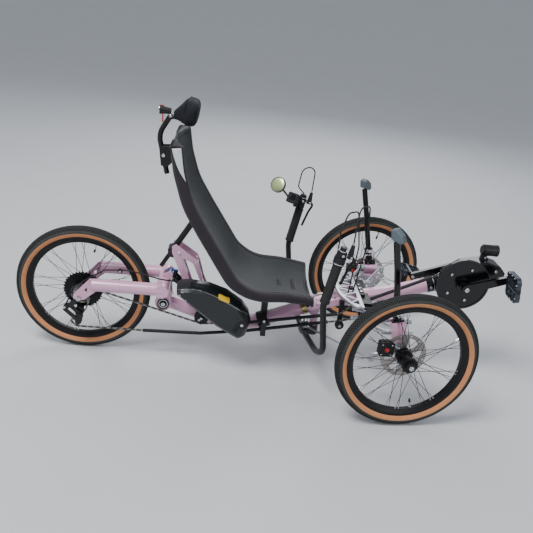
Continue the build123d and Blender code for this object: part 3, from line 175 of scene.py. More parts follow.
clear_lens = surface("clear_lens", (0.45, 0.47, 0.50), 0.10, metal=0.8, coat=0.8, grain=260, relief=0.5)
screen_glass = surface("screen_glass", (0.010, 0.012, 0.015), 0.07, coat=0.8)
mirror_glass = surface(
    "mirror_glass", (0.58, 0.65, 0.32), 0.34, metal=0.75, shade=0.06, patch=60, rounded=0.0
)


def weave(name, colour, pitch, holes=0.0, rough=0.7, gap_shade_factor=0.45, sheen=0.25):
    """Two crossing sets of threads from the piece's own UV map, which is in metres. The gaps between threads
    are painted darker as shade, over random patches of tone.
    """
    made, tree, shader = material(name)
    constants(shader, Roughness=rough, Specular_IOR_Level=0.3, Sheen_Weight=sheen)
    flat = {"Vector": add(tree, "UVMap").outputs["UV"]}
    threads = []
    for direction in ("X", "Y"):
        wave = add(tree, "TexWave", flat, Scale=pi / (10 * pitch), Distortion=0.3)
        wave.wave_type = "BANDS"
        wave.bands_direction = direction
        threads.append(wave.outputs["Fac"])
    height = combine(tree, "MAXIMUM", *threads)
    # Painted shade: the colour darkens where the threads dip into the gaps between them, times random patches
    # of tone
    shade_and_patches = combine(tree, "MULTIPLY", height, spread(tree, noise(tree, 9.0, detail=5.0), 0.75, 1.0))
    low = [c * gap_shade_factor for c in colour]
    tree.links.new(blend_colours(tree, shade_and_patches, low, colour), shader.inputs["Base Color"])
    bump(tree, shader, height, 0.5, THREAD_DEPTH)
    if holes:
        tree.links.new(spread(tree, height, 1 - holes, 1.0, 0.35, 0.6), shader.inputs["Alpha"])
    return made


seat_cloth = weave("seat_mesh_cloth", (0.022, 0.027, 0.030), 0.0021, holes=0.14, rough=0.55, sheen=0.10)
band_cloth = weave("seat_band_cloth", (0.026, 0.020, 0.028), 0.0010, rough=0.75, sheen=0.15)
pad_cloth = surface(
    "pad_cloth", (0.010, 0.011, 0.016), 0.8, grain=1500, relief=0.6, rounded=0.0, specular=0.25
)
seam_thread = surface("seam_thread", (0.012, 0.012, 0.013), 0.8, grain=3000, relief=0.6, rounded=0.0)


# Mesh helpers

def square_to(axis):
    """Two unit vectors square to an axis and to each other."""
    axis = axis.normalized()
    first = axis.cross(UP if abs(axis.z) < 0.9 else AHEAD).normalized()
    return first, axis.cross(first).normalized()


def heading(path, index):
    """The direction of a row of points at one of them."""
    return (path[min(len(path) - 1, index + 1)] - path[max(0, index - 1)]).normalized()


def circle(steps, phase=0.0):
    """Cosine and sine of each step round a circle."""
    turns = [2 * pi * step / steps + phase for step in range(steps)]
    return [(cos(turn), sin(turn)) for turn in turns]


def power_of(value, exponent):
    return copysign(abs(value) ** exponent, value)


def soft_oval(half_x, half_y, exponent, steps):
    """Points round an oval whose corners fill out as the exponent falls."""
    return [(half_x * power_of(x, exponent), half_y * power_of(y, exponent)) for x, y in circle(steps)]


def put(name, data):
    """A new object in the scene."""
    made = bpy.data.objects.new(name, data)
    bpy.context.scene.collection.objects.link(made)
    return made


class Shape:
    """Gathers faces, with a material number for each, and makes one piece of them."""

    def __init__(self):
        self.points = []
        self.faces = []
        self.kinds = []
        self.flat = []

    def add(self, points, faces, kind):
        start = len(self.points)
        self.points += [tuple(point) for point in points]
        self.faces += [tuple(start + index for index in face) for face in faces]
        self.kinds += [kind] * len(faces)
        self.flat += [(0.0, 0.0)] * len(points)

    def wrap(self, points, steps, kind, ends=()):
        """Joins closed rings of points, each of as many steps."""
        faces = list(ends)
        for low in range(0, len(points) - steps, steps):
            for step in range(steps):
                after = (step + 1) % steps
                faces.append((low + step, low + after, low + steps + after, low + steps + step))
        self.add(points, faces, kind)

    def lathe(self, centre, axis, profile, steps=32, kind=0, phase=0.0):
        """Turns (along, radius) pairs about an axis. A radius of 0 closes an end."""
        axis = axis.normalized()
        first, second = square_to(axis)
        spokes = [first * x + second * y for x, y in circle(steps, phase)]
        points = [centre + (axis * a + spoke * radius) * MM for a, radius in profile for spoke in spokes]
        self.wrap(points, steps, kind)

    def drum(self, centre, axis, low, high, radius, steps, kind=0):
        """A closed cylinder from low to high along an axis."""
        self.lathe(centre, axis, [(low, 0), (low, radius), (high, radius), (high, 0)], steps, kind)

    def ring(self, centre, axis, low, high, inner, outer, steps, kind=0):
        """A band of square section, open on its inner side."""
        self.lathe(centre, axis, [(low, inner), (low, outer), (high, outer), (high, inner)], steps, kind)

    def bolt(self, centre, axis, radius, height, kind=0, socket=0.5):
        """A cap screw's head, its foot at the centre, with a six-sided socket."""
        hole = radius * socket
        low, floor = -height * 0.2, height * 0.35
        head = [(low, 0), (low, radius), (height * 0.75, radius), (height, radius * 0.82), (height, hole)]
        self.lathe(centre, axis, head, 20, kind)
        self.lathe(centre, axis, [(height, hole), (floor, hole * 0.95), (floor, 0)], 6, kind)

    def prism(self, outline, origin, right, up, depth, kind=0):
        """A flat outline given as (right, up) pairs, as thick as depth along right x up."""
        through = right.cross(up).normalized() * depth * MM
        count = len(outline)
        points = [origin + (right * a + up * b) * MM for a, b in outline]
        points += [point + through for point in points]
        faces = [tuple(reversed(range(count))), tuple(range(count, 2 * count))]
        faces += [(i, (i + 1) % count, count + (i + 1) % count, count + i) for i in range(count)]
        self.add(points, faces, kind)

    def tube(self, path, radius, steps=10, kind=0):
        """A round tube along a row of points, closed at both ends."""
        points = []
        across = square_to(heading(path, 0))[0]
        for index, point in enumerate(path):
            along = heading(path, index)
            across = (across - along * across.dot(along)).normalized()
            up = along.cross(across)
            points += [point + (across * x + up * y) * radius * MM for x, y in circle(steps)]
        ends = [tuple(reversed(range(steps))), tuple(range(len(points) - steps, len(points)))]
        self.wrap(points, steps, kind, ends)

    def grid(self, rows, kind=0, kinds=None, flat=None):
        """A sheet of quads from rows of points of equal length."""
        width = len(rows[0])
        start = len(self.points)
        self.points += [tuple(point) for row in rows for point in row]
        self.flat += [uv for row in flat for uv in row] if flat else [(0.0, 0.0)] * (len(rows) * width)
        for row in range(len(rows) - 1):
            for column in range(width - 1):
                low = start + row * width + column
                self.faces.append((low, low + 1, low + width + 1, low + width))
                self.kinds.append(kinds(row, column) if kinds else kind)

    def build(self, name, materials, sharp):
        mesh = bpy.data.meshes.new(name)
        mesh.from_pydata(self.points, [], self.faces)
        for made in materials:
            mesh.materials.append(made)
        mesh.polygons.foreach_set("material_index", self.kinds)
        mesh.polygons.foreach_set("use_smooth", [True] * len(self.faces))
        layer = mesh.uv_layers.new(name="flat")
        for loop in mesh.loops:
            layer.data[loop.index].uv = self.flat[loop.vertex_index]
        mesh.validate()
        mesh.set_sharp_from_angle(angle=radians(sharp))
        return put(name, mesh)

    def make(self, name, materials, body, stands_for=(), sharp=40.0):
        made = self.build(name, materials, sharp)
        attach(made, body)
        if stands_for:
            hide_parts(*stands_for)
        return made


def add_modifier(made, kind, **settings):
    changed = made.modifiers.new(kind.lower(), kind)
    for name, value in settings.items():
        setattr(changed, name, value)


def dress(node, default, *rules):
    """Gives a CAD node its finish. Each rule is a test on a face's centre and a material."""
    mesh = nodes[node].data
    mesh.materials.clear()
    for made in (default, *(made for _, made in rules)):
        mesh.materials.append(made)
    for face in mesh.polygons:
        passed = (number for number, (test, _) in enumerate(rules, start=1) if test(face.center))
        face.material_index = next(passed, 0)


# Wheels

BEAD_SEAT = 203.0
SECTION = 21.8
RING = BEAD_SEAT + SECTION
RIM_EDGE = 208.3
TAN_EDGE = 223.2
GROOVE = 1.8
TREAD_BLOCKS = 156
TREAD_HALF_ANGLE = 64.0
TREAD_ROWS = 9
# A block's side walls, as shares of its row's width
BLOCK_EDGES = (0.18, 0.82)
# Spokes, as the wheel's own solid has them, from the hub's middle
RIM_INSIDE = 185.0
SPOKE_END = 188.0
SPOKES_A_FLANGE = 18
SPOKE_SWING = 52.0
FLANGE_STARTS = (0.0, 10.0)
VALVE_PLACE = 15.0
# How far each front wheel is turned where the trike is parked, in degrees
PARKED = (("left", 1, 6.5), ("right", -1, 4.5))


def wheel_frame(name, side=1):
    """A wheel's middle, and its axle's direction towards a side."""
    joint = joints[f"wheel_spin_{name}"]
    axis = Vector(joint["axis"]).normalized()
    return Vector(joint["pos_m"]), axis if axis.y * side > 0 else -axis


def parked_ahead(name, rest):
    """The front wheel's own forward direction as it is parked."""
    axis = Vector(joints[f"kingpin_{name}"]["axis"]).normalized()
    if axis.z < 0:
        axis = -axis
    return Matrix.Rotation(radians(rest), 3, axis) @ AHEAD


def section_angle(radius):
    """Degrees from the tyre's crown, about its section's middle, to a distance from the axle."""
    return degrees(acos((radius - RING) / SECTION))


def tyre(name, body):
    """Black tread of small staggered blocks between tan side walls."""
    joint = joints[f"wheel_spin_{name}"]
    centre, axis = Vector(joint["pos_m"]), Vector(joint["axis"]).normalized()
    first, second = square_to(axis)
    bead, tan_from = section_angle(RIM_EDGE), section_angle(TAN_EDGE)
    # Columns of the section: angle from the crown, tread row or None
    row_width = 2 * TREAD_HALF_ANGLE / TREAD_ROWS
    wall = (bead, 125, 111, tan_from + 1, tan_from, 84, 72)
    section = [(-angle, None) for angle in wall]
    for row in range(TREAD_ROWS):
        start = -TREAD_HALF_ANGLE + row * row_width
        section += [(start, -1)] + [(start + row_width * share, row) for share in BLOCK_EDGES]
    section += [(TREAD_HALF_ANGLE, -1)] + [(angle, None) for angle in reversed(wall)]
    around = TREAD_BLOCKS * 4

    def raised(step, row):
        return row >= 0 and (step + 2 * (row % 2)) % 4 != 0

    def kind(step, column):
        (angle, row), (beyond, after) = section[column], section[column + 1]
        if abs(angle + beyond) / 2 > tan_from:
            return 1
        if row is None or after is None:
            return 0
        return 0 if row == after and raised(step, row) and raised(step + 1, row) else 2

    rows = []
    for step in range(around + 1):
        angle = 2 * pi * (step % around) / around
        spoke = first * cos(angle) + second * sin(angle)
        points = []
        for angle, row in section:
            turn = radians(angle)
            reach = SECTION if row is None or raised(step, row) else SECTION - GROOVE
            out, aside = RING + reach * cos(turn), reach * sin(turn)
            points.append(centre + (spoke * out + axis * aside) * MM)
        rows.append(points)
    shape = Shape()
    shape.grid(rows, kinds=kind)
    # The groove floors take the darker rubber, which is painted shade
    finish = [tread_rubber, tan_wall, groove_shade_rubber]
    made = shape.make(f"tyre_{name}_look", finish, body, [f"tyre_{name}"], sharp=70)
    add_modifier(made, "WELD", merge_threshold=0.00001)


def wheel_trim(name, body, ahead, outboard, flanges, flange_radius, hub_end):
    """Bright nipples on the rim's inner wall, spoke heads, a valve, and the axle's end bolt."""
    centre = wheel_frame(name)[0]
    up = ahead.cross(outboard)
    shape = Shape()

    def at(radius, angle, y):
        return centre + (ahead * radius * sin(angle) + up * radius * cos(angle) + outboard * y) * MM

    for flange, first in zip(flanges, FLANGE_STARTS):
        for index in range(SPOKES_A_FLANGE):
            lean = 1 if index % 2 else -1
            hole = radians(first + index * 360 / SPOKES_A_FLANGE)
            start = at(flange_radius - 3, hole, flange + 2.2 * lean)
            end = at(SPOKE_END, hole + radians(lean * SPOKE_SWING), copysign(4, flange))
            back = (start - end).normalized()
            shape.lathe(end + back * 2.5 * MM, back, [(0, 2.4), (3, 2.4), (13, 1.6), (13, 0)], 8)
            head = start - back * 1.5 * MM
            shape.lathe(head, back, [(-1.8, 0), (-1.8, 1.6), (1.2, 1.6), (2, 0)], 6, 1)
    valve = radians(VALVE_PLACE)
    low, high = at(RIM_INSIDE + 1, valve, 0), at(RIM_INSIDE - 34, valve, 0)
    inward = (high - low).normalized()
    shape.lathe(low, inward, [(0, 4.5), (2, 4.5), (2, 3), (22, 3), (22, 0)], 10)
    shape.lathe(low + inward * 21 * MM, inward, [(0, 0), (0, 4.2), (13, 3.6), (14, 0)], 10, 1)
    if hub_end is not None:
        face = centre + outboard * hub_end * MM
        shape.lathe(face, outboard, [(-2, 0), (-1, 13.5), (2.2, 12.5), (3, 10), (3, 0)], 24, 1)
        shape.bolt(face + outboard * 3 * MM, outboard, 8.2, 5.5, 0, 0.55)
    shape.make(f"wheel_trim_{name}", [bright_steel, black_anodised], body)


# Seat

# Side view of the rails' centre line (x, z) and the radius of each bend, as in the solids
RAIL_LINE = [
    (-303, 338), (-400, 351), (-510, 351), (-580, 400), (-690, 570), (-748, 665), (-778, 765), (-790, 845),
]
RAIL_BENDS = [260, 160, 120, 420, 300, 300]
RAIL_PITCH = 7.0
# Half width between the rails in plan (x, y)
SEAT_PLAN = [(-303, 158), (-568, 178), (-740, 168), (-790, 153)]
RAIL_WRAP = 12.6
SAG = 23.5
CLOTH = 1.4
# How deep the cover's side band hangs behind the rail's centre (x, depth), and how far its
# folded edge reaches in behind the seat (x, reach)
BAND_DEPTH = [(-303, 18), (-330, 19), (-400, 22), (-500, 26), (-600, 33), (-700, 32), (-760, 30), (-790, 31)]
FOLD_REACH = [(-303, 34), (-700, 34), (-770, 40), (-783, 92), (-790, 100)]
BAND_STEPS = 4
BAND_POINTS = 10
CROSSING_STEPS = 16
# Where the open cloth starts, in from the rail, and how far it lies behind the rail there
CROSSING = (26, -5.2)
SEAM = BAND_STEPS * (BAND_POINTS - 2) + 5
# Rounding of each end: way beyond the rail's end, share of the section folded flat
FRONT_END = ((1.0, 1.0), (4.5, 0.86), (6.5, 0.62), (7.0, 0.38), (6.0, 0.16), (3.0, 0.04))
TOP_END = ((3.0, 0.04), (6.0, 0.16), (7.5, 0.38), (7.0, 0.62), (4.0, 0.86), (-2.0, 1.0))
STRAP_PLACES = (-352, -408, -508, -548, -590, -628, -664, -733, -760)


def spaced(line, pitch):
    """Points at every pitch along a line from its start."""
    points, carried = [line[0]], 0.0
    for start, end in zip(line, line[1:]):
        length = (end - start).length
        while carried + length >= pitch:
            start = start.lerp(end, (pitch - carried) / length)
            points.append(start)
            length = (end - start).length
            carried = 0.0
        carried += length
    return points


def rounded_line(points, radii, pitch):
    """Points about a pitch apart along straight runs joined by arcs."""
    line = [Vector(points[0])]
    for index, radius in enumerate(radii, start=1):
        corner = Vector(points[index])
        before = (corner - Vector(points[index - 1])).normalized()
        after = (Vector(points[index + 1]) - corner).normalized()
        turn = before.angle(after)
        reach = radius * tan(turn / 2)
        steps = max(2, round(turn * radius / pitch))
        first, last = corner - before * reach, corner + after * reach
        for step in range(steps + 1):
            t = step / steps
            line.append(first * (1 - t) ** 2 + corner * 2 * t * (1 - t) + last * t ** 2)
    line.append(Vector(points[-1]))
    row = spaced(line, pitch)
    return row + [line[-1]] if (row[-1] - line[-1]).length > pitch / 3 else row


def between(table, x):
    """Reads a table of (x, value), x falling, in straight lines."""
    if x >= table[0][0]:
        return table[0][1]
    for (x0, v0), (x1, v1) in zip(table, table[1:]):
        if x >= x1:
            return v0 + (v1 - v0) * (x - x0) / (x1 - x0)
    return table[-1][1]


def smooth_through(points, steps):
    """A Catmull-Rom row through points."""
    ends = [Vector(point) for point in (points[0], *points, points[-1])]
    row = []
    for p0, p1, p2, p3 in zip(ends, ends[1:], ends[2:], ends[3:]):
        for step in range(steps):
            t = step / steps
            square, cube = 2 * p0 - 5 * p1 + 4 * p2 - p3, 3 * p1 - p0 - 3 * p2 + p3
            row.append(0.5 * (2 * p1 + (p2 - p0) * t + square * t * t + cube * t ** 3))
    return row + [ends[-1]]


rail = rounded_line(RAIL_LINE, RAIL_BENDS, RAIL_PITCH)


def seat_station(index):
    """Place, normal away from the rider and half width at a point of the rail's line."""
    along = heading(rail, index)
    return rail[index], Vector((-along.y, along.x)), between(SEAT_PLAN, rail[index].x)


def half_section(x, half):
    """Half of the cover's section (in from the rail, away from the rider) from its fold."""
    depth = between(BAND_DEPTH, x)
    start, level = CROSSING
    points = [
        (between(FOLD_REACH, x), depth - 1.5), (16, depth), (3, depth - 0.5), (-7, depth - 4),
        (-11.8, depth - 12), (-RAIL_WRAP - 0.4, (depth - 12) * 0.45), (-RAIL_WRAP + 0.5, -3.5), (-8.9, -8.9),
        (0, -RAIL_WRAP), (11, -RAIL_WRAP + 2.6), CROSSING,
    ]
    row = smooth_through(points, BAND_STEPS)
    for step in range(1, CROSSING_STEPS + 1):
        u = step / CROSSING_STEPS
        row.append(Vector((start + (half - start) * u, level + (SAG - level) * (1 - (1 - u) ** 2.1))))
    return row


def seat_rows():
    """Rows of the cover's points, with the cloth's own flat coordinates in metres."""
    last = len(rail) - 1
    stations = [(0, *end) for end in FRONT_END] + [(index, 0.0, 0.0) for index in range(last + 1)]
    stations += [(last, *end) for end in TOP_END]
    rows, flat = [], []
    for number, (index, beyond, folded) in enumerate(stations, start=1):
        here, away, half = seat_station(index)
        out_of_end = Vector((-away.y, away.x)) * (1 if index == 0 else -1)
        depth = between(BAND_DEPTH, here.x)
        section = half_section(here.x, half)
        # Gathered folds at the top pocket and faint ones in front and where the seat bends
        front = 1.0 - min(1.0, index / 10)
        top = 1.0 - min(1.0, (last - index) / 12)
        bend = exp(-((here.x + 560) / 45) ** 2)
        left = []
        for step, (inward, drop) in enumerate(section):
            share = step / (len(section) - 1)
            ripple = 1.3 * top * sin(share * 34 + 1.0) + 0.9 * front * sin(share * 27)
            ripple += 0.8 * bend * sin(share * 21 + here.y * 0.02)
            drop += ripple * (0.35 if step < BAND_STEPS * BAND_POINTS else 1.0)
            drop += (depth - 1.5 - drop) * folded
            spot = here + away * drop + out_of_end * beyond
            left.append((spot.x, half - inward, spot.y))
        row = [place(x, -y, z) for x, y, z in left] + [place(x, y, z) for x, y, z in reversed(left[:-1])]
        rows.append(row)
        widths = [0.0]
        for one, two in zip(row, row[1:]):
            widths.append(widths[-1] + (two - one).length)
        flat.append([(width, number * RAIL_PITCH * MM) for width in widths])
    return rows, flat


def seat_seams(rows):
    """Piped seams along each rail, the folded edges' hems, and a turned hem across each end."""
    width = len(rows[0])
    shape = Shape()
    for column, radius in ((SEAM, 1.5), (width - 1 - SEAM, 1.5), (1, 2.1), (width - 2, 2.1)):
        shape.tube([row[column] for row in rows[4:-4]], radius, 6)
    for row in (rows[7], rows[-9]):
        shape.tube(row[SEAM:-SEAM], 1.1, 6)
    return shape.make("seat_seams", [seam_thread], "frame")


def seat_strips(rows):
    """Reflective strips on the side bands near the top."""
    steps, across, first_column, last_column = 16, 6, 14, 25.5
    shape = Shape()
    for _, out in SIDES:
        strip = []
        for step, row in enumerate(rows[-7 - steps:-6]):
            if out is ACROSS:
                row = row[::-1]
            start = first_column + 11 * (1 - step / steps) ** 1.4
            points = []
            for share in range(across + 1):
                column = start + (last_column - start) * share / across
                whole = int(column)
                spot = row[whole].lerp(row[whole + 1], column - whole)
                points.append(spot + (out * 1.6 + (spot - row[len(row) // 2]).normalized() * 0.4) * MM)
            strip.append(points)
        shape.grid(strip)
    made = shape.make("seat_reflective_strips", [white_strip], "frame")
    add_modifier(made, "SOLIDIFY", thickness=0.9 * MM, offset=1.0)
    return made


def seat_straps():
    """Webbing straps behind, from fold to fold, clear of the bowed tubes, with their buckles."""
    shape = Shape()
    for x in STRAP_PLACES:
        here, away, half = seat_station(min(range(len(rail)), key=lambda number: abs(rail[number].x - x)))
        depth = between(BAND_DEPTH, here.x)
        along = Vector((-away.y, away.x))
        strap = []
        for edge in (-10, 10):
            spot = here + away * (depth + 1.2) + along * edge
            strap.append([place(spot.x, (half - 24) * (1 - step / 6), spot.y) for step in range(13)])
        shape.grid(strap)
        middle = here + away * (depth + 3.0)
        buckle = [(-19, -13), (19, -13), (19, 13), (-19, 13)]
        shape.prism(buckle, place(middle.x, 62, middle.y), ACROSS, Vector((along.x, 0, along.y)), 4, 1)
    made = shape.make("seat_straps", [band_cloth, black_plastic], "frame")
    add_modifier(made, "SOLIDIFY", thickness=CLOTH * MM, offset=0.0)
    return made


def seat_cover():
    rows, flat = seat_rows()
    width = len(rows[0])
    shape = Shape()
    shape.grid(rows, kinds=lambda row, column: int(min(column, width - 2 - column) < SEAM), flat=flat)
    cloths = [seat_cloth, band_cloth]
    cover = shape.make("seat_cover", cloths, "frame", ["seat_mesh"], sharp=60)
    add_modifier(cover, "SOLIDIFY", thickness=CLOTH * MM, offset=-1.0)
    trim = [seat_seams(rows), seat_strips(rows), seat_straps()]


# Headrest pad

# Middle in the side view, half sizes, and how the pad's corners and ends fill out
PAD_CENTRE = (-768.0, 931.0)
PAD_HALF = (29.0, 75.0, 43.0)
PAD_TILT = radians(8.0)
PAD_ROUND = 3.1
PAD_BACK = 0.80
PAD_SWEEP = 6.0
PIPING = -0.42
# Back's sections: x and z from the pad's middle, half width, half height
TAPER = (
    (-17, -1, 62, 38), (-24, -3, 56, 34), (-34, -6, 42, 26), (-46, -10, 30, 18.5), (-54, -13.5, 22.5, 14.5),
    (-57, -14, 20, 12),
)


def on_headrest(x, y, z):
    """A point given along the pad's own tilted axes, its ends swept forward a little."""
    x += PAD_SWEEP * (y / PAD_HALF[1]) ** 2 - PAD_SWEEP / 2
    cosine, sine = cos(PAD_TILT), sin(PAD_TILT)
    return place(PAD_CENTRE[0] + x * cosine + z * sine, y, PAD_CENTRE[1] - x * sine + z * cosine)


def headrest():
    around, along = 72, 48
    soft = 2 / PAD_ROUND
    outline = soft_oval(PAD_HALF[0], PAD_HALF[2], soft, around)
    rows = []
    for step in range(along + 1):
        latitude = -pi / 2 + pi * step / along
        level = power_of(cos(latitude), soft)
        share = power_of(sin(latitude), 0.62)
        row = []
        for x, z in outline + outline[:1]:
            x *= level * (1.02 - 0.10 * share ** 2 if x > 0 else PAD_BACK)
            row.append(on_headrest(x, share * PAD_HALF[1], z * level))
        rows.append(row)
    shape = Shape()
    shape.grid(rows)
    pad = shape.make("headrest_cushion", [pad_cloth], "frame", ["headrest_pad"], sharp=80)
    add_modifier(pad, "WELD", merge_threshold=0.0004)
    add_modifier(pad, "SUBSURF", levels=1, render_levels=1)

    # Piping round the front panel's edge
    scale = (1 - abs(PIPING) ** PAD_ROUND) ** (1 / PAD_ROUND)
    wide = 0.93 * PAD_HALF[1] * (0.97 + 0.03 * scale)
    high = 0.95 * PAD_HALF[2] * (0.995 * scale + 0.005) * 1.05
    path = []
    for y, z in soft_oval(wide, high, 0.42, 96):
        path.append(on_headrest(PIPING * PAD_HALF[0] * PAD_BACK, y, z))
    trim = Shape()
    trim.tube(path + path[:1], 1.3, 6)
    trim.make("headrest_piping", [seam_thread], "frame")

    taper = Shape()
    sections = []
    for x, z, half_y, half_z in TAPER:
        oval = soft_oval(half_y, half_z, 0.55, 40)
        sections.append([place(PAD_CENTRE[0] + x, y, PAD_CENTRE[1] + z + up) for y, up in oval + oval[:1]])
    sections.append([place(PAD_CENTRE[0] - 57.5, 0, PAD_CENTRE[1] - 14)] * len(sections[0]))
    taper.grid(sections)
    back = taper.make("headrest_back", [pad_cloth], "frame", sharp=60)
    add_modifier(back, "WELD", merge_threshold=0.00001)


# Chain

# Length of a link, the chain's plane, and its runs between the toothed wheels (x, z)
LINK = 12.7
CHAIN_Y = -48.0
RING_RADIUS = 81.2
CASSETTE = (-1135.0, 246.6)
CASSETTE_RADIUS = 35.4
UPPER_RUN = ((152, 420), (-130, 276), (-170, 238), (-525, 171), (-691, 154.2))
LOWER_RUN = (
    (-1121, 178), (-1175, 128), (-1160, 112), (-1146, 108), (-908, 108), (-692, 112), (-522, 136),
    (-203, 201), (-168, 208),
)


def arc(x, z, radius, first, last):
    steps = max(4, round(abs(last - first) / 6))
    angles = [radians(first + (last - first) * step / steps) for step in range(steps + 1)]
    return [Vector((x + radius * cos(angle), z + radius * sin(angle))) for angle in angles]


def chain_pins():
    """The chain's pins in the side view (x, z), evenly spaced round its closed line."""
    line = arc(CRANK[0], CRANK[2], RING_RADIUS, -75, 120) + [Vector(point) for point in UPPER_RUN]
    line += arc(*CASSETTE, CASSETTE_RADIUS, 75, 330) + [Vector(point) for point in LOWER_RUN]
    line.append(line[0])
    total = sum((b - a).length for a, b in zip(line, line[1:]))
    count = 2 * round(total / LINK / 2)
    return spaced(line, total / count)[:count]


def chain():
    """Roller chain of two kinds of links, pin by pin along its line."""
    pins = chain_pins()
    shape = Shape()
    for index, pin in enumerate(pins):
        after = pins[(index + 1) % len(pins)]
        along = (after - pin).normalized()
        right, up = Vector((along.x, 0, along.y)), Vector((-along.y, 0, along.x))
        length = (after - pin).length
        outline = [(-3.3, -1.3), (-2.4, -2.7), (0, -3.3), (length / 2, -2.3), (length, -3.3)]
        outline += [(length + 2.4, -2.7), (length + 3.3, -1.3)]
        outline += [(x, -z) for x, z in reversed(outline)]
        spot = place(pin.x, CHAIN_Y, pin.y)
        outer = index % 2 == 0
        side = 2.9 if outer else 1.9
        for y in (0.9 - side, side):
            shape.prism(outline, spot + ACROSS * y * MM, right, up, 0.9, 0 if outer else 1)
        shape.drum(spot, ACROSS, -1.9, 1.9, 2.6, 8, 1)
        if outer:
            for end in (pin, after):
                shape.drum(place(end.x, CHAIN_Y, end.y), ACROSS, -3.3, 3.3, 1.6, 6, 1)
    shape.make("chain_links", [dark_steel, worn_steel], "frame", ["chain"])


# Trim on the frame

TUBE_HALF = 25.0
BEHIND = -AHEAD
# Screws on the near side, and the ones that both sides have: x, y, z, radius, height
NEAR_SCREWS = (
    (-699, -55, 172.8, 4.6, 3), (-702, -55, 158.5, 3.6, 3), (-166, -57, 190, 5.5, 3.5),
    (-691, -57, 181, 5.5, 4), (348, -8, 496, 4.6, 3.5), (-217.5, -19, 274, 5.2, 3.5), (-1190, -77, 200, 5, 3),
)
PAIRED_SCREWS = (
    (-785.4, 31, 429.1, 5, 3.5), (388, 38, 455.9, 5.5, 3.5), (322, 38, 376, 5.5, 3.5),
    (-200.5, 19, 315, 4.6, 4), (-194, 19, 292, 4.6, 4),
)
UPRIGHT_SCREWS = (
    (-99, 28, 327.8, 5.2, 4), (-99, -1, 327.8, 5.2, 4), (-99, -30, 327.8, 5.2, 4), (-122, 146, 325.6, 4.2, 3),
    (-122, -146, 325.6, 4.2, 3),
)
# Suspension arms' pivot barrels: height of each, and each end's x and direction
ARM_PIVOTS = (262.0, 300.0)
ARM_ENDS = ((-142.3, BEHIND), (-33.7, AHEAD))


def frame_bolts():
    """Screw heads over the frame, each at the face that it holds."""
    shape = Shape()
    for x, y, z, radius, height in NEAR_SCREWS:
        shape.bolt(place(x, y, z), NEAR, radius, height)
    for x, y, z, radius, height in UPRIGHT_SCREWS:
        shape.bolt(place(x, y, z), UP, radius, height)
    for side, axis in SIDES:
        for x, y, z, radius, height in PAIRED_SCREWS:
            shape.bolt(place(x, side * y, z), axis, radius, height)
        for z in ARM_PIVOTS:
            for x, way in ARM_ENDS:
                shape.bolt(place(x, side * 118, z), way, 5.2, 3)
    shape.make("frame_bolts", [bright_steel], "frame")


POST_FOOT = (-17, -25, 336)
POST_BEND = (-57, -3, 535)
KINGPIN_Y = 279.0
POST_RADIUS = 11.0


def post_trim():
    """Bright collars on the two posts, each with a quick-release lever lying along it."""
    shape = Shape()
    out = Vector((0.35, -0.94, 0))
    for side, _ in SIDES:
        foot, top = [place(x, side * (KINGPIN_Y + y), z) for x, y, z in (POST_FOOT, POST_BEND)]
        along = (top - foot).normalized()
        centre, radius = foot + along * 49 * MM, POST_RADIUS + 6
        shape.ring(centre, along, -6, 6, radius, radius + 2.2, 32)
        aside = along.cross(out).normalized()
        start = centre + out * (radius + 4) * MM
        shape.drum(start - aside * 9 * MM, aside, 0, 18, 4.2, 14)
        path = [start + (aside * a - along * b) * MM for a, b in ((10, 0), (14, 6), (12, 26), (4, 34))]
        shape.tube(path, 2.4, 8)
        radius = POST_RADIUS + 3
        shape.ring(foot + along * 31 * MM, along, -3, 3, radius, radius + 0.8, 32)
    shape.make("post_collars", [bright_steel], "frame")


def main_tube_trim():
    """Band behind the folding hinge, its flanges' rings, the boom clamp's ring and the lever's cam."""
    shape = Shape()
    low, high = place(-314, 0, 228.4), place(-293, 0, 237.4)
    length = (high - low).length / MM
    # The tube has eight sides
    eighth = radians(22.5)
    corner = (TUBE_HALF + 1.4) / cos(eighth)
    groove = corner * 0.992
    half = [(0, corner * 0.99), (0, corner), (4.2, corner), (4.8, groove), (5.6, groove), (6.2, corner)]
    profile = half + [(length - along, radius) for along, radius in reversed(half)]
    shape.lathe(low, high - low, profile, 8, 0, eighth)
    turned = Vector((83.0, 0, 27.0)).normalized()
    for shift in (-17.2, 14.8):
        shape.ring(place(-273, 0, 246) + turned * shift * MM, turned, 0, 2.4, 35.5, 36.4, 48, 1)
    mouth = place(150, 0, 363)
    boom = Vector((136.0, 0, 43.0)).normalized()
    shape.ring(mouth + boom * 25.2 * MM, boom, 0, 2.2, 22.5, 29.6, 48, 1)
    shape.bolt(mouth + (boom * 13 + NEAR * 30) * MM, NEAR, 5, 4, 1)
    shape.drum(place(-284, -24, 266), ACROSS, -4, 6, 7, 20, 1)
    shape.make("main_tube_bands", [gold_band, machined], "frame")


def plate_bar():
    """Black bar in front of the suspension plate, and its stop on the lug."""
    shape = Shape()
    outline = [(-9, -52), (7, -52), (9, -50), (9, 50), (7, 52), (-9, 52)]
    outline += [(-7, 30), (-9, 10), (-7, -10), (-9, -30)]
    shape.prism(outline, place(-97, 0, 317.8), AHEAD, ACROSS, 9.8)
    shape.prism([(-9, -13), (9, -13), (9, 13), (-9, 13)], place(-203, 0, 316.2), AHEAD, ACROSS, 7.5)
    shape.make("plate_bar", [black_anodised], "frame")


# Side views on the battery's shell (x, z)
BATTERY_LINE = [
    (-778, 331.5), (-755, 338), (-719.6, 339.5), (-688, 335), (-656.1, 325), (-627, 313), (-598, 298),
    (-566, 279.5), (-540, 262.5), (-527, 250),
]
PATCH_TOP = (Vector((-633, 326)), Vector((-592, 309.5)))
PATCH_FOOT = (Vector((-633, 312.5)), Vector((-592, 296)))
CLEAR_OF_SHELL = -400.0


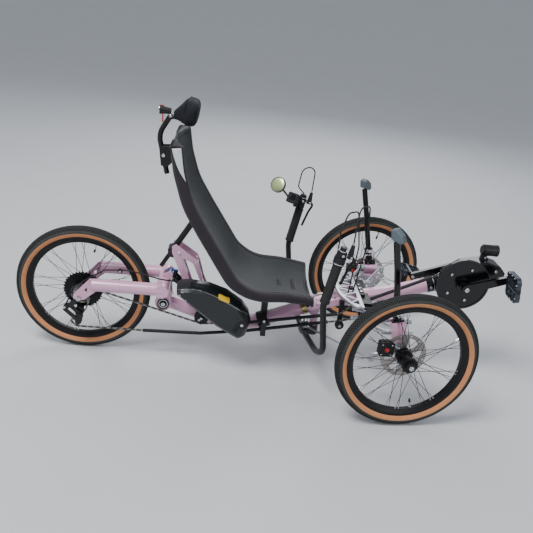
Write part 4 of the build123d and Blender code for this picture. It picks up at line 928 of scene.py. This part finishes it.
def battery_trim():
    """A bright metal strip along the shell as its painted edge highlight, blank yellow patch, lock, vents and
    mount screws.
    """
    mesh = nodes["battery"].data
    corners, faces = [point.co for point in mesh.vertices], [face.vertices for face in mesh.polygons]
    shell = BVHTree.FromPolygons(corners, faces)

    def on_shell(x, z, lift):
        """The shell's near face at a place of the side view, raised off it."""
        start = place(x, CLEAR_OF_SHELL, z)
        point, normal, _, _ = shell.ray_cast(start, ACROSS)
        if point is None:
            raise ValueError(f"no shell beyond {tuple(start)}")
        return point + (-normal if normal.dot(ACROSS) > 0 else normal) * lift * MM

    # Painted highlight: a thin bright metal strip laid along the shell's upper edge, where the shell itself
    # has only a highlight
    path = smooth_through(BATTERY_LINE, 6)
    rows = []
    for offset, lift in ((-1.1, 0.1), (-0.5, 0.6), (0.5, 0.6), (1.1, 0.1)):
        row = []
        for index, point in enumerate(path):
            along = heading(path, index)
            row.append(on_shell(point.x - along.y * offset, point.y + along.x * offset, lift))
        rows.append(row)
    highlight_strip = Shape()
    highlight_strip.grid(rows)
    highlight_strip.make("battery_painted_highlight", [worn_steel], "frame")

    # Blank patch that follows the shell, its corners rounded
    rows = []
    for step in range(9):
        row = []
        for turn in range(13):
            s = turn / 12
            inset = 0.18 * (1 - min(1.0, min(s, 1 - s) * 12)) ** 2
            rise = min(max(step / 8, inset), 1 - inset)
            spot = PATCH_FOOT[0].lerp(PATCH_FOOT[1], s).lerp(PATCH_TOP[0].lerp(PATCH_TOP[1], s), rise)
            row.append(on_shell(spot.x, spot.y, 0.6))
        rows.append(row)
    patch = Shape()
    patch.grid(rows)
    patch.make("battery_patch", [yellow_label], "frame")

    trim = Shape()
    for x, z, radius in ((-770, 312, 4.6), (-748, 296, 4.2)):
        trim.bolt(on_shell(x, z, -1), NEAR, radius, 4)
    # Lock's round boss and key slot
    spot = on_shell(-541, 214, -2)
    trim.lathe(spot, NEAR, [(0, 17), (4, 16.5), (5, 15), (5, 10), (3.5, 9.5), (3.5, 0)], 36, 1)
    trim.lathe(spot, NEAR, [(3.2, 6), (5.6, 5.8), (6, 5), (6, 0)], 24)
    for step in range(7):
        x, z = -566 + 2.2 * step, 183 + 5.5 * step
        ends = [on_shell(x + a, z + b, lift) for a, b, lift in ((-9, 3, 0.2), (0, 1, 1.2), (9, -1, 0.2))]
        trim.tube(ends, 1.4, 6, 1)
    trim.make("battery_lock", [bright_steel, black_plastic], "frame")


def seat_clamp_trim():
    shape = Shape()
    for y, z, radius, height in ((-62, 190, 5.2, 4), (-17, 300, 4.6, 3.5), (-17, 262, 4.6, 3.5)):
        shape.bolt(place(-455, y, z), NEAR, radius, height)
    shape.make("seat_clamp_bolts", [bright_steel], "frame")


PIVOT = (-836.0, 225.0)
PIVOT_RING = [(-2.2, 14), (-0.5, 14), (0.3, 14.8), (0.3, 16.6), (-0.5, 17.2), (-2.2, 17.2)]


def swingarm_trim():
    """Bright rings in the pivot's caps, the axle's ends, and the plug inside the far arm."""
    shape = Shape()
    for side, axis in SIDES:
        shape.lathe(place(PIVOT[0], side * 44.6, PIVOT[1]), axis, PIVOT_RING, 48)
        shape.bolt(place(PIVOT[0], side * 47.6, PIVOT[1]), axis, 7.5, 3)
        shape.bolt(place(CASSETTE[0], -94 if side < 0 else 91, CASSETTE[1]), axis, 7.4, 4)
    plug = Shape()
    start = place(-1012, 55.5, 300)
    plug.lathe(start, NEAR, [(-3, 0), (-3, 9), (4, 8.8), (5.2, 7.5), (5.2, 0)], 24)
    plug.lathe(start, NEAR, [(5, 5.2), (7.8, 5), (8.2, 4), (8.2, 0)], 24, 1)
    plug.make("swingarm_plug", [black_plastic, bright_steel], "frame")
    shape.make("swingarm_rings", [bright_steel], "frame")


def tail_trim():
    """Lens and bright ring of the tail lamp, its switch, the clamp's bolts and the reflector's facets."""
    shape = Shape()
    rear = place(-873, 0, 929)
    shape.lathe(rear, BEHIND, [(-1, 15), (1.6, 14.7), (2.2, 13.6), (1, 12), (0.8, 11.8)], 40)
    shape.lathe(rear, BEHIND, [(0.4, 11.8), (1.6, 9), (2.4, 5), (2.6, 0)], 32, 1)
    shape.lathe(place(-864, 0, 942), UP, [(-3, 0), (-3, 5.2), (2.2, 5), (3, 4), (3.2, 0)], 20, 2)
    for side, axis in SIDES:
        shape.bolt(place(-836, side * 8.6, 912), axis, 5.2, 3.5)
    rows = []
    for step in range(9):
        z = 891.5 + 21 * step / 8
        rows.append([place(-864.2 - (step + turn) % 2 / 2, -7 + 3.5 * turn, z) for turn in range(5)])
    shape.grid(rows, kind=2)
    shape.make("tail_lamp_lens", [bright_steel, clear_lens, red_lens], "frame", sharp=20)


def headlamp_trim():
    """Cooling rings, front lens and rear seal of the headlamp."""
    shape = Shape()
    for x in (342, 348, 354, 360):
        shape.ring(place(x, 0, 524), AHEAD, -1.2, 1.2, 20.8, 21.6, 48)
    front, rear = place(391, 0, 524), place(332, 0, 524)
    shape.lathe(front, AHEAD, [(-1, 21.8), (0.6, 21.2), (0.6, 19.5), (0, 19)], 48)
    shape.lathe(front, AHEAD, [(-0.4, 19.2), (1.2, 14), (2, 7), (2.2, 0)], 40, 1)
    shape.lathe(rear, BEHIND, [(-1, 16.5), (1.4, 16), (1.4, 12), (0.2, 11.5), (0.2, 0)], 40)
    shape.make("headlamp_rings", [black_anodised, clear_lens], "frame")


# Steering bar's pieces

BAR_PIVOT = Vector((-258.0, 0.0, 0.0))
BAR_TURN = Matrix.Rotation(radians(8.5), 3, "Z")
GRIP_LINE = [(-66.0, 385.0), (-26.0, 599.0)]
BAR_HALF = 272.0
MIRROR_CENTRE = Vector((-118.0, 342.0, 612.0))
MIRROR_FACE = Vector((-0.61, -0.68, 0.42)).normalized()
DISPLAY_PLACE = Vector((-77.7, 244.0, 590.0))
DISPLAY_TURN, DISPLAY_LEAN = radians(40.0), radians(28.0)
# The display's bezel, glass and button: half width, half height, lift, thickness, kind, shift up
DISPLAY_LAYERS = (
    (20.5, 18.5, 6.0, 0.6, 1, 0.0), (18.0, 12.5, 6.6, 0.5, 0, 3.5), (5.0, 2.2, 6.6, 1.2, 1, -13.5),
)
GRIP_RINGS = 15
# Side screws on each hand control, from its top: ahead, below, reach aside
CONTROL_SCREWS = ((30, 16, 10.0), (14, 9, 4.2))


def on_bar(x, y, z):
    return place(*(BAR_PIVOT + BAR_TURN @ Vector((x, y, z))))


def along_bar(side, z):
    (x0, z0), (x1, z1) = GRIP_LINE
    return on_bar(x0 + (x1 - x0) * (z - z0) / (z1 - z0), side * BAR_HALF, z)


def grip(shape, side):
    """Rubber sleeve with raised rings and closed ends."""
    low, high = along_bar(side, 398), along_bar(side, 540)
    length = (high - low).length / MM
    end = [(0, 11.4), (0, 16.8), (1.5, 17.2), (8, 17.2), (9, 16)]
    step = (length - 22) / GRIP_RINGS
    profile = list(end)
    for ring in range(GRIP_RINGS):
        for share, radius in ((0, 15.8), (0.25, 16.6), (0.7, 16.6), (0.92, 15.8)):
            profile.append((11 + step * (ring + share), radius))
    profile += [(length - along, radius) for along, radius in reversed(end)]
    shape.lathe(low, high - low, profile, 40)


def bar_trim():
    """Grips, the controls' screws and ferrules, and the mirror's glass."""
    sleeves = Shape()
    shape = Shape()
    forward, turned = BAR_TURN @ AHEAD, BAR_TURN @ NEAR
    for side, _ in SIDES:
        grip(sleeves, side)
        low, high = along_bar(side, 566), along_bar(side, 582)
        for way in (turned, -turned):
            shape.bolt((low + high) / 2 + way * 16.8 * MM, way, 4.8, 3)
            for ahead, below, reach in CONTROL_SCREWS:
                shape.bolt(high + (forward * ahead - UP * below + way * reach) * MM, way, 4.2, 3)
        ferrule = high + (forward * 33.8 + UP * 22.5) * MM
        shape.lathe(ferrule, UP, [(0, 3), (0, 4.4), (6, 4), (9, 3.2), (9, 2.6)], 16)
        shape.ring(along_bar(side, 585), high - low, 0, 3, 11.2, 15, 32)
    sleeves.make("grip_sleeves", [soft_rubber], "steering_bar", ["grips"], sharp=50)
    # Bright ring of the twist shifter
    start, beyond = along_bar(-1, 541), along_bar(-1, 543.5)
    shape.ring(start, beyond - start, -0.2, 2.6, 17.5, 20.3, 40)
    # Screws of the bar's centre hub
    for y in (-14, 14):
        shape.bolt(on_bar(-22, y, 148), UP, 4.2, 3)
    shape.make("bar_bolts", [bright_steel], "steering_bar")

    glass = Shape()
    centre, back = on_bar(*(MIRROR_CENTRE + MIRROR_FACE * 6)), BAR_TURN @ MIRROR_FACE
    glass.lathe(centre, back, [(0.2, 28.8), (1.2, 27), (2.2, 18), (2.6, 9), (2.7, 0)], 48)
    glass.lathe(centre, back, [(-0.5, 31.8), (1.6, 31.6), (2.2, 30.4), (1.6, 29), (0.2, 28.8)], 48, 1)
    glass.make("mirror_face", [mirror_glass, grey_rubber], "steering_bar")


def display_trim():
    """Screen glass, bezel and button on the display's face."""
    turn = BAR_TURN @ Matrix.Rotation(DISPLAY_TURN, 3, "Z") @ Matrix.Rotation(DISPLAY_LEAN, 3, "Y")
    centre = on_bar(*DISPLAY_PLACE)
    shape = Shape()
    for half_w, half_h, lift, thick, kind, shift in DISPLAY_LAYERS:
        outline = [(a, b + shift) for a, b in soft_oval(half_w, half_h, 0.35, 32)]
        shape.prism(outline, centre + turn @ BEHIND * lift * MM, turn @ NEAR, turn @ UP, thick, kind)
    shape.make("display_screen", [screen_glass, black_plastic], "steering_bar")


# Other moving pieces

CRANK_LENGTH = 150.0
CRANK_LEAN = radians(19)
GUARD_RIM = [(58, 96.2), (61.2, 96.6), (62.2, 97.4), (62.4, 98.6), (62, 99.6), (60.8, 100.1)]
# Pins over each face of a pedal's cage, from its axle: x, y
PEDAL_PINS = [(x, y) for x in (-44.5, 44.5) for y in (34, 57, 80)]
PEDAL_PINS += [(x, y) for x in (-25, 25) for y in (16.5, 97.5)]


def knuckle_trim(name, body, ahead, outboard, side):
    """Bolts of one brake caliper, its red caps and its bleed nipple."""
    centre = wheel_frame(name)[0]
    up = ahead.cross(outboard)
    rise = 22.0 * side
    shape = Shape()

    def at(x, y, z):
        return centre + (ahead * x + outboard * y + up * z) * MM

    for x in (-82, -49):
        for z in (rise + 18, rise - 18):
            shape.bolt(at(x, -31, z), outboard, 3.4, 3)
            shape.bolt(at(x, -58, z), -outboard, 3.4, 3)
    for y, way in ((-27.5, outboard), (-62, -outboard)):
        shape.lathe(at(-65, y, rise), way, [(-0.5, 5), (1, 4.6), (1, 2.2), (0, 2), (0, 0)], 6, 1)
    nipple = [(-2, 0), (-2, 3.6), (4, 3.6), (5, 2.2), (10, 2.2), (10, 0)]
    shape.lathe(at(-80, -46, rise + 26), up * side, nipple, 12)
    shape.make(f"caliper_bolts_{name}", [bright_steel, red_plastic], body)


def crank_end(side, y):
    """A crank's end, where its pedal's axle passes through it."""
    reach = -side * CRANK_LENGTH
    return place(CRANK[0] + reach * cos(CRANK_LEAN), side * y, CRANK[2] + reach * sin(CRANK_LEAN))


def crank_trim():
    """Crank bolts, pedal-axle ends, chainring screws and the guard's polished rim."""
    shape = Shape()
    for side, axis in SIDES:
        shape.bolt(place(CRANK[0], side * 104.5, CRANK[2]), axis, 8.6, 4.2)
        shape.bolt(crank_end(side, 90.2), -axis, 6.5, 3)
    for right, up in circle(5, radians(71)):
        x, z = CRANK[0] + 64 * right, CRANK[2] + 64 * up
        shape.bolt(place(x, -62, z), NEAR, 5.2, 2.2)
        shape.bolt(place(x, -48, z), ACROSS, 5.2, 2.2)
    shape.make("crank_bolts", [bright_steel], "crank")
    band = Shape()
    band.lathe(place(*CRANK), NEAR, GUARD_RIM, 120)
    band.make("guard_rim_polish", [cage_metal], "crank")


def pedal_trim(name, side, lean):
    """Grip pins over both faces of a pedal's cage, and the axle's end cap."""
    turn = Matrix.Rotation(radians(lean), 3, "Y")
    origin = crank_end(side, 97)
    shape = Shape()
    for face in (-1, 1):
        for x, y in PEDAL_PINS:
            spot = origin + turn @ Vector((x, side * y, 8.5 * face)) * MM
            shape.lathe(spot, turn @ UP * face, [(-1, 3), (0.8, 2.8), (0.8, 1.8), (3.8, 1.6), (4, 0)], 10)
    out = ACROSS * side
    shape.lathe(origin + out * 101 * MM, out, [(-1, 8.8), (2, 8), (2.4, 6), (2.4, 0)], 20, 1)
    shape.make(f"pedal_pins_{name}", [bright_steel, black_plastic], f"pedal_{name}")


# Camera, light and floor

# The photograph's camera, solved from the three wheels
CAMERA_PLACE = place(-629.5, -2070.1, 1312.0)
CAMERA_YAW = radians(4.588)
CAMERA_DIP = radians(23.962)
CAMERA_ROLL = radians(6.227)
FOCAL_PIXELS = 609.8
FRAME_PIXELS = 533.0
SENSOR_MM = 36.0
# Lamps: place, point aimed at, size, power
LAMPS = {
    "key": ((-1.8, -1.6, 4.6), (0, 0, 0.3), 1.8, 230),
    "fill": ((2.6, -3.4, 2.4), (0, 0, 0.4), 3.0, 45),
    "back": ((0.8, 3.6, 3.0), (0, 0, 0.4), 2.6, 80),
}
SKY = (0.82, 0.88, 0.96, 1)
SKY_STRENGTH = 0.55
# The floor's height and its distance from the middle, flat under the trike and rising far away
FLOOR_SWEEP = [
    (0, 0), (0, 4000), (0, 8000), (50, 9500), (250, 11000), (800, 13000), (2000, 16000), (4200, 20000),
    (8500, 26000),
]


def camera():
    data = bpy.data.cameras.new("camera")
    data.sensor_width = SENSOR_MM
    data.lens = FOCAL_PIXELS / FRAME_PIXELS * SENSOR_MM
    made = put("camera", data)
    level = cos(CAMERA_DIP)
    look = Vector((sin(CAMERA_YAW) * level, cos(CAMERA_YAW) * level, -sin(CAMERA_DIP)))
    right = Vector((cos(CAMERA_YAW), -sin(CAMERA_YAW), 0))
    tilted = right * cos(CAMERA_ROLL) + right.cross(look) * sin(CAMERA_ROLL)
    turn = Matrix((tilted, tilted.cross(look), -look)).transposed()
    made.matrix_world = Matrix.Translation(CAMERA_PLACE) @ turn.to_4x4()
    bpy.context.scene.camera = made


def studio():
    world = bpy.data.worlds.new("studio")
    world.use_nodes = True
    constants(world.node_tree.nodes["Background"], Color=SKY, Strength=SKY_STRENGTH)
    bpy.context.scene.world = world
    for name, (where, aim, size, power) in LAMPS.items():
        data = bpy.data.lights.new(name, "AREA")
        data.size = size
        data.energy = power
        made = put(name, data)
        made.location = where
        made.rotation_euler = (Vector(aim) - Vector(where)).to_track_quat("-Z", "Y").to_euler()
    paint, tree, shader = material("floor")
    constants(shader, Roughness=0.9, Specular_IOR_Level=0.2)
    tone = blend_colours(tree, noise(tree, 3.0), (0.56, 0.57, 0.59), (0.60, 0.61, 0.63))
    tree.links.new(tone, shader.inputs["Base Color"])
    bump(tree, shader, noise(tree, 220.0), 0.05, 0.001)
    shape = Shape()
    shape.lathe(Vector((0, 0, 0)), UP, FLOOR_SWEEP, 96)
    shape.build("floor", [paint], 180.0)


# The CAD nodes' finishes

finishes = {
    frame_paint: "main_frame seat_mast swingarm kingpin_housings",
    black_anodised: "boom seat_clamp seat_strut headrest_post subframe steering_bar battery_rail derailleur "
    "headlamp tail_lamp",
    black_gloss: "sleeve_clamp assist_posts seat_frame motor crankset rear_shock pivot_caps",
    black_plastic: "hand_controls idlers chain_tubes headrest_pad mirror display caliper_left caliper_right",
    machined: "suspension_plate suspension_arms knuckle_left knuckle_right fold_latch tie_rod_left "
    "tie_rod_right",
    rim_black: "wheel_left wheel_right wheel_rear",
    disc_steel: "rotor_left rotor_right",
    dark_steel: "cassette chain",
    soft_rubber: "grips control_cables rear_cable",
    grey_rubber: "assist_caps",
    battery_shell: "battery",
    cage_metal: "pedal_left pedal_right",
    seat_cloth: "seat_mesh",
}
for finish, names in finishes.items():
    for node in names.split():
        dress(node, finish)


def near_axis(x, z, low, high, beyond=0.0):
    """A test for faces at a distance from an axis across the trike, and so far from its middle."""
    origin = place(x, 0, z)

    def test(spot):
        away = hypot(spot.x - origin.x, spot.z - origin.z) / MM
        return low <= away < high and abs(spot.y - origin.y) / MM > beyond

    return test


dress("swingarm", frame_paint, (near_axis(*CASSETTE, 0, 10.5, 83.1), bright_steel))
dress("cassette", black_steel, (near_axis(*CASSETTE, 0, 30), worn_steel))
dress("headrest_post", black_anodised, (near_axis(-856.4, 781, 0, 7, 18.3), bright_steel))
knob, knob_foot = near_axis(-809, 352, 0, 22), place(0, 0, 344).z
dress(
    "rear_shock", black_gloss,
    (lambda spot: knob(spot) and spot.z > knob_foot and abs(spot.y - AXLE.y) < 9 * MM, blue_knob),
)
reflector = place(-862, 0, 912)
dress(
    "tail_lamp", black_anodised,
    (lambda spot: abs(spot.x - reflector.x) < 2.2 * MM and spot.z < reflector.z, red_lens),
)
ring_band = near_axis(CRANK[0], CRANK[2], 70, 80)
dress("crankset", black_gloss, (lambda spot: ring_band(spot) and spot.y > AXLE.y - 50 * MM, dark_steel))
for name, side, _ in PARKED:
    hub, out = wheel_frame(name, side)
    dress(
        f"caliper_{name}", black_plastic,
        (lambda spot: not -58.3 < (spot - hub).dot(out) / MM < -30.7, red_plastic),
    )

# Pieces

camera()
for name in ("left", "right"):
    tyre(name, f"front_wheel_{name}")
tyre("rear", "rear_wheel")
for name, side, rest in PARKED:
    ahead, out = parked_ahead(name, rest), wheel_frame(name, side)[1]
    wheel_trim(name, f"front_wheel_{name}", ahead, out, (-26, 27), 27, 42)
    knuckle_trim(name, f"knuckle_{name}", ahead, out, side)
wheel_trim("rear", "rear_wheel", AHEAD, ACROSS, (-8, 40), 29, None)
for build_piece in (
    seat_cover, headrest, chain, frame_bolts, post_trim, main_tube_trim, plate_bar, battery_trim,
    seat_clamp_trim, swingarm_trim, tail_trim, headlamp_trim, bar_trim, display_trim, crank_trim,
):
    build_piece()
pedal_trim("right", -1, 82)
pedal_trim("left", 1, 12)
studio()
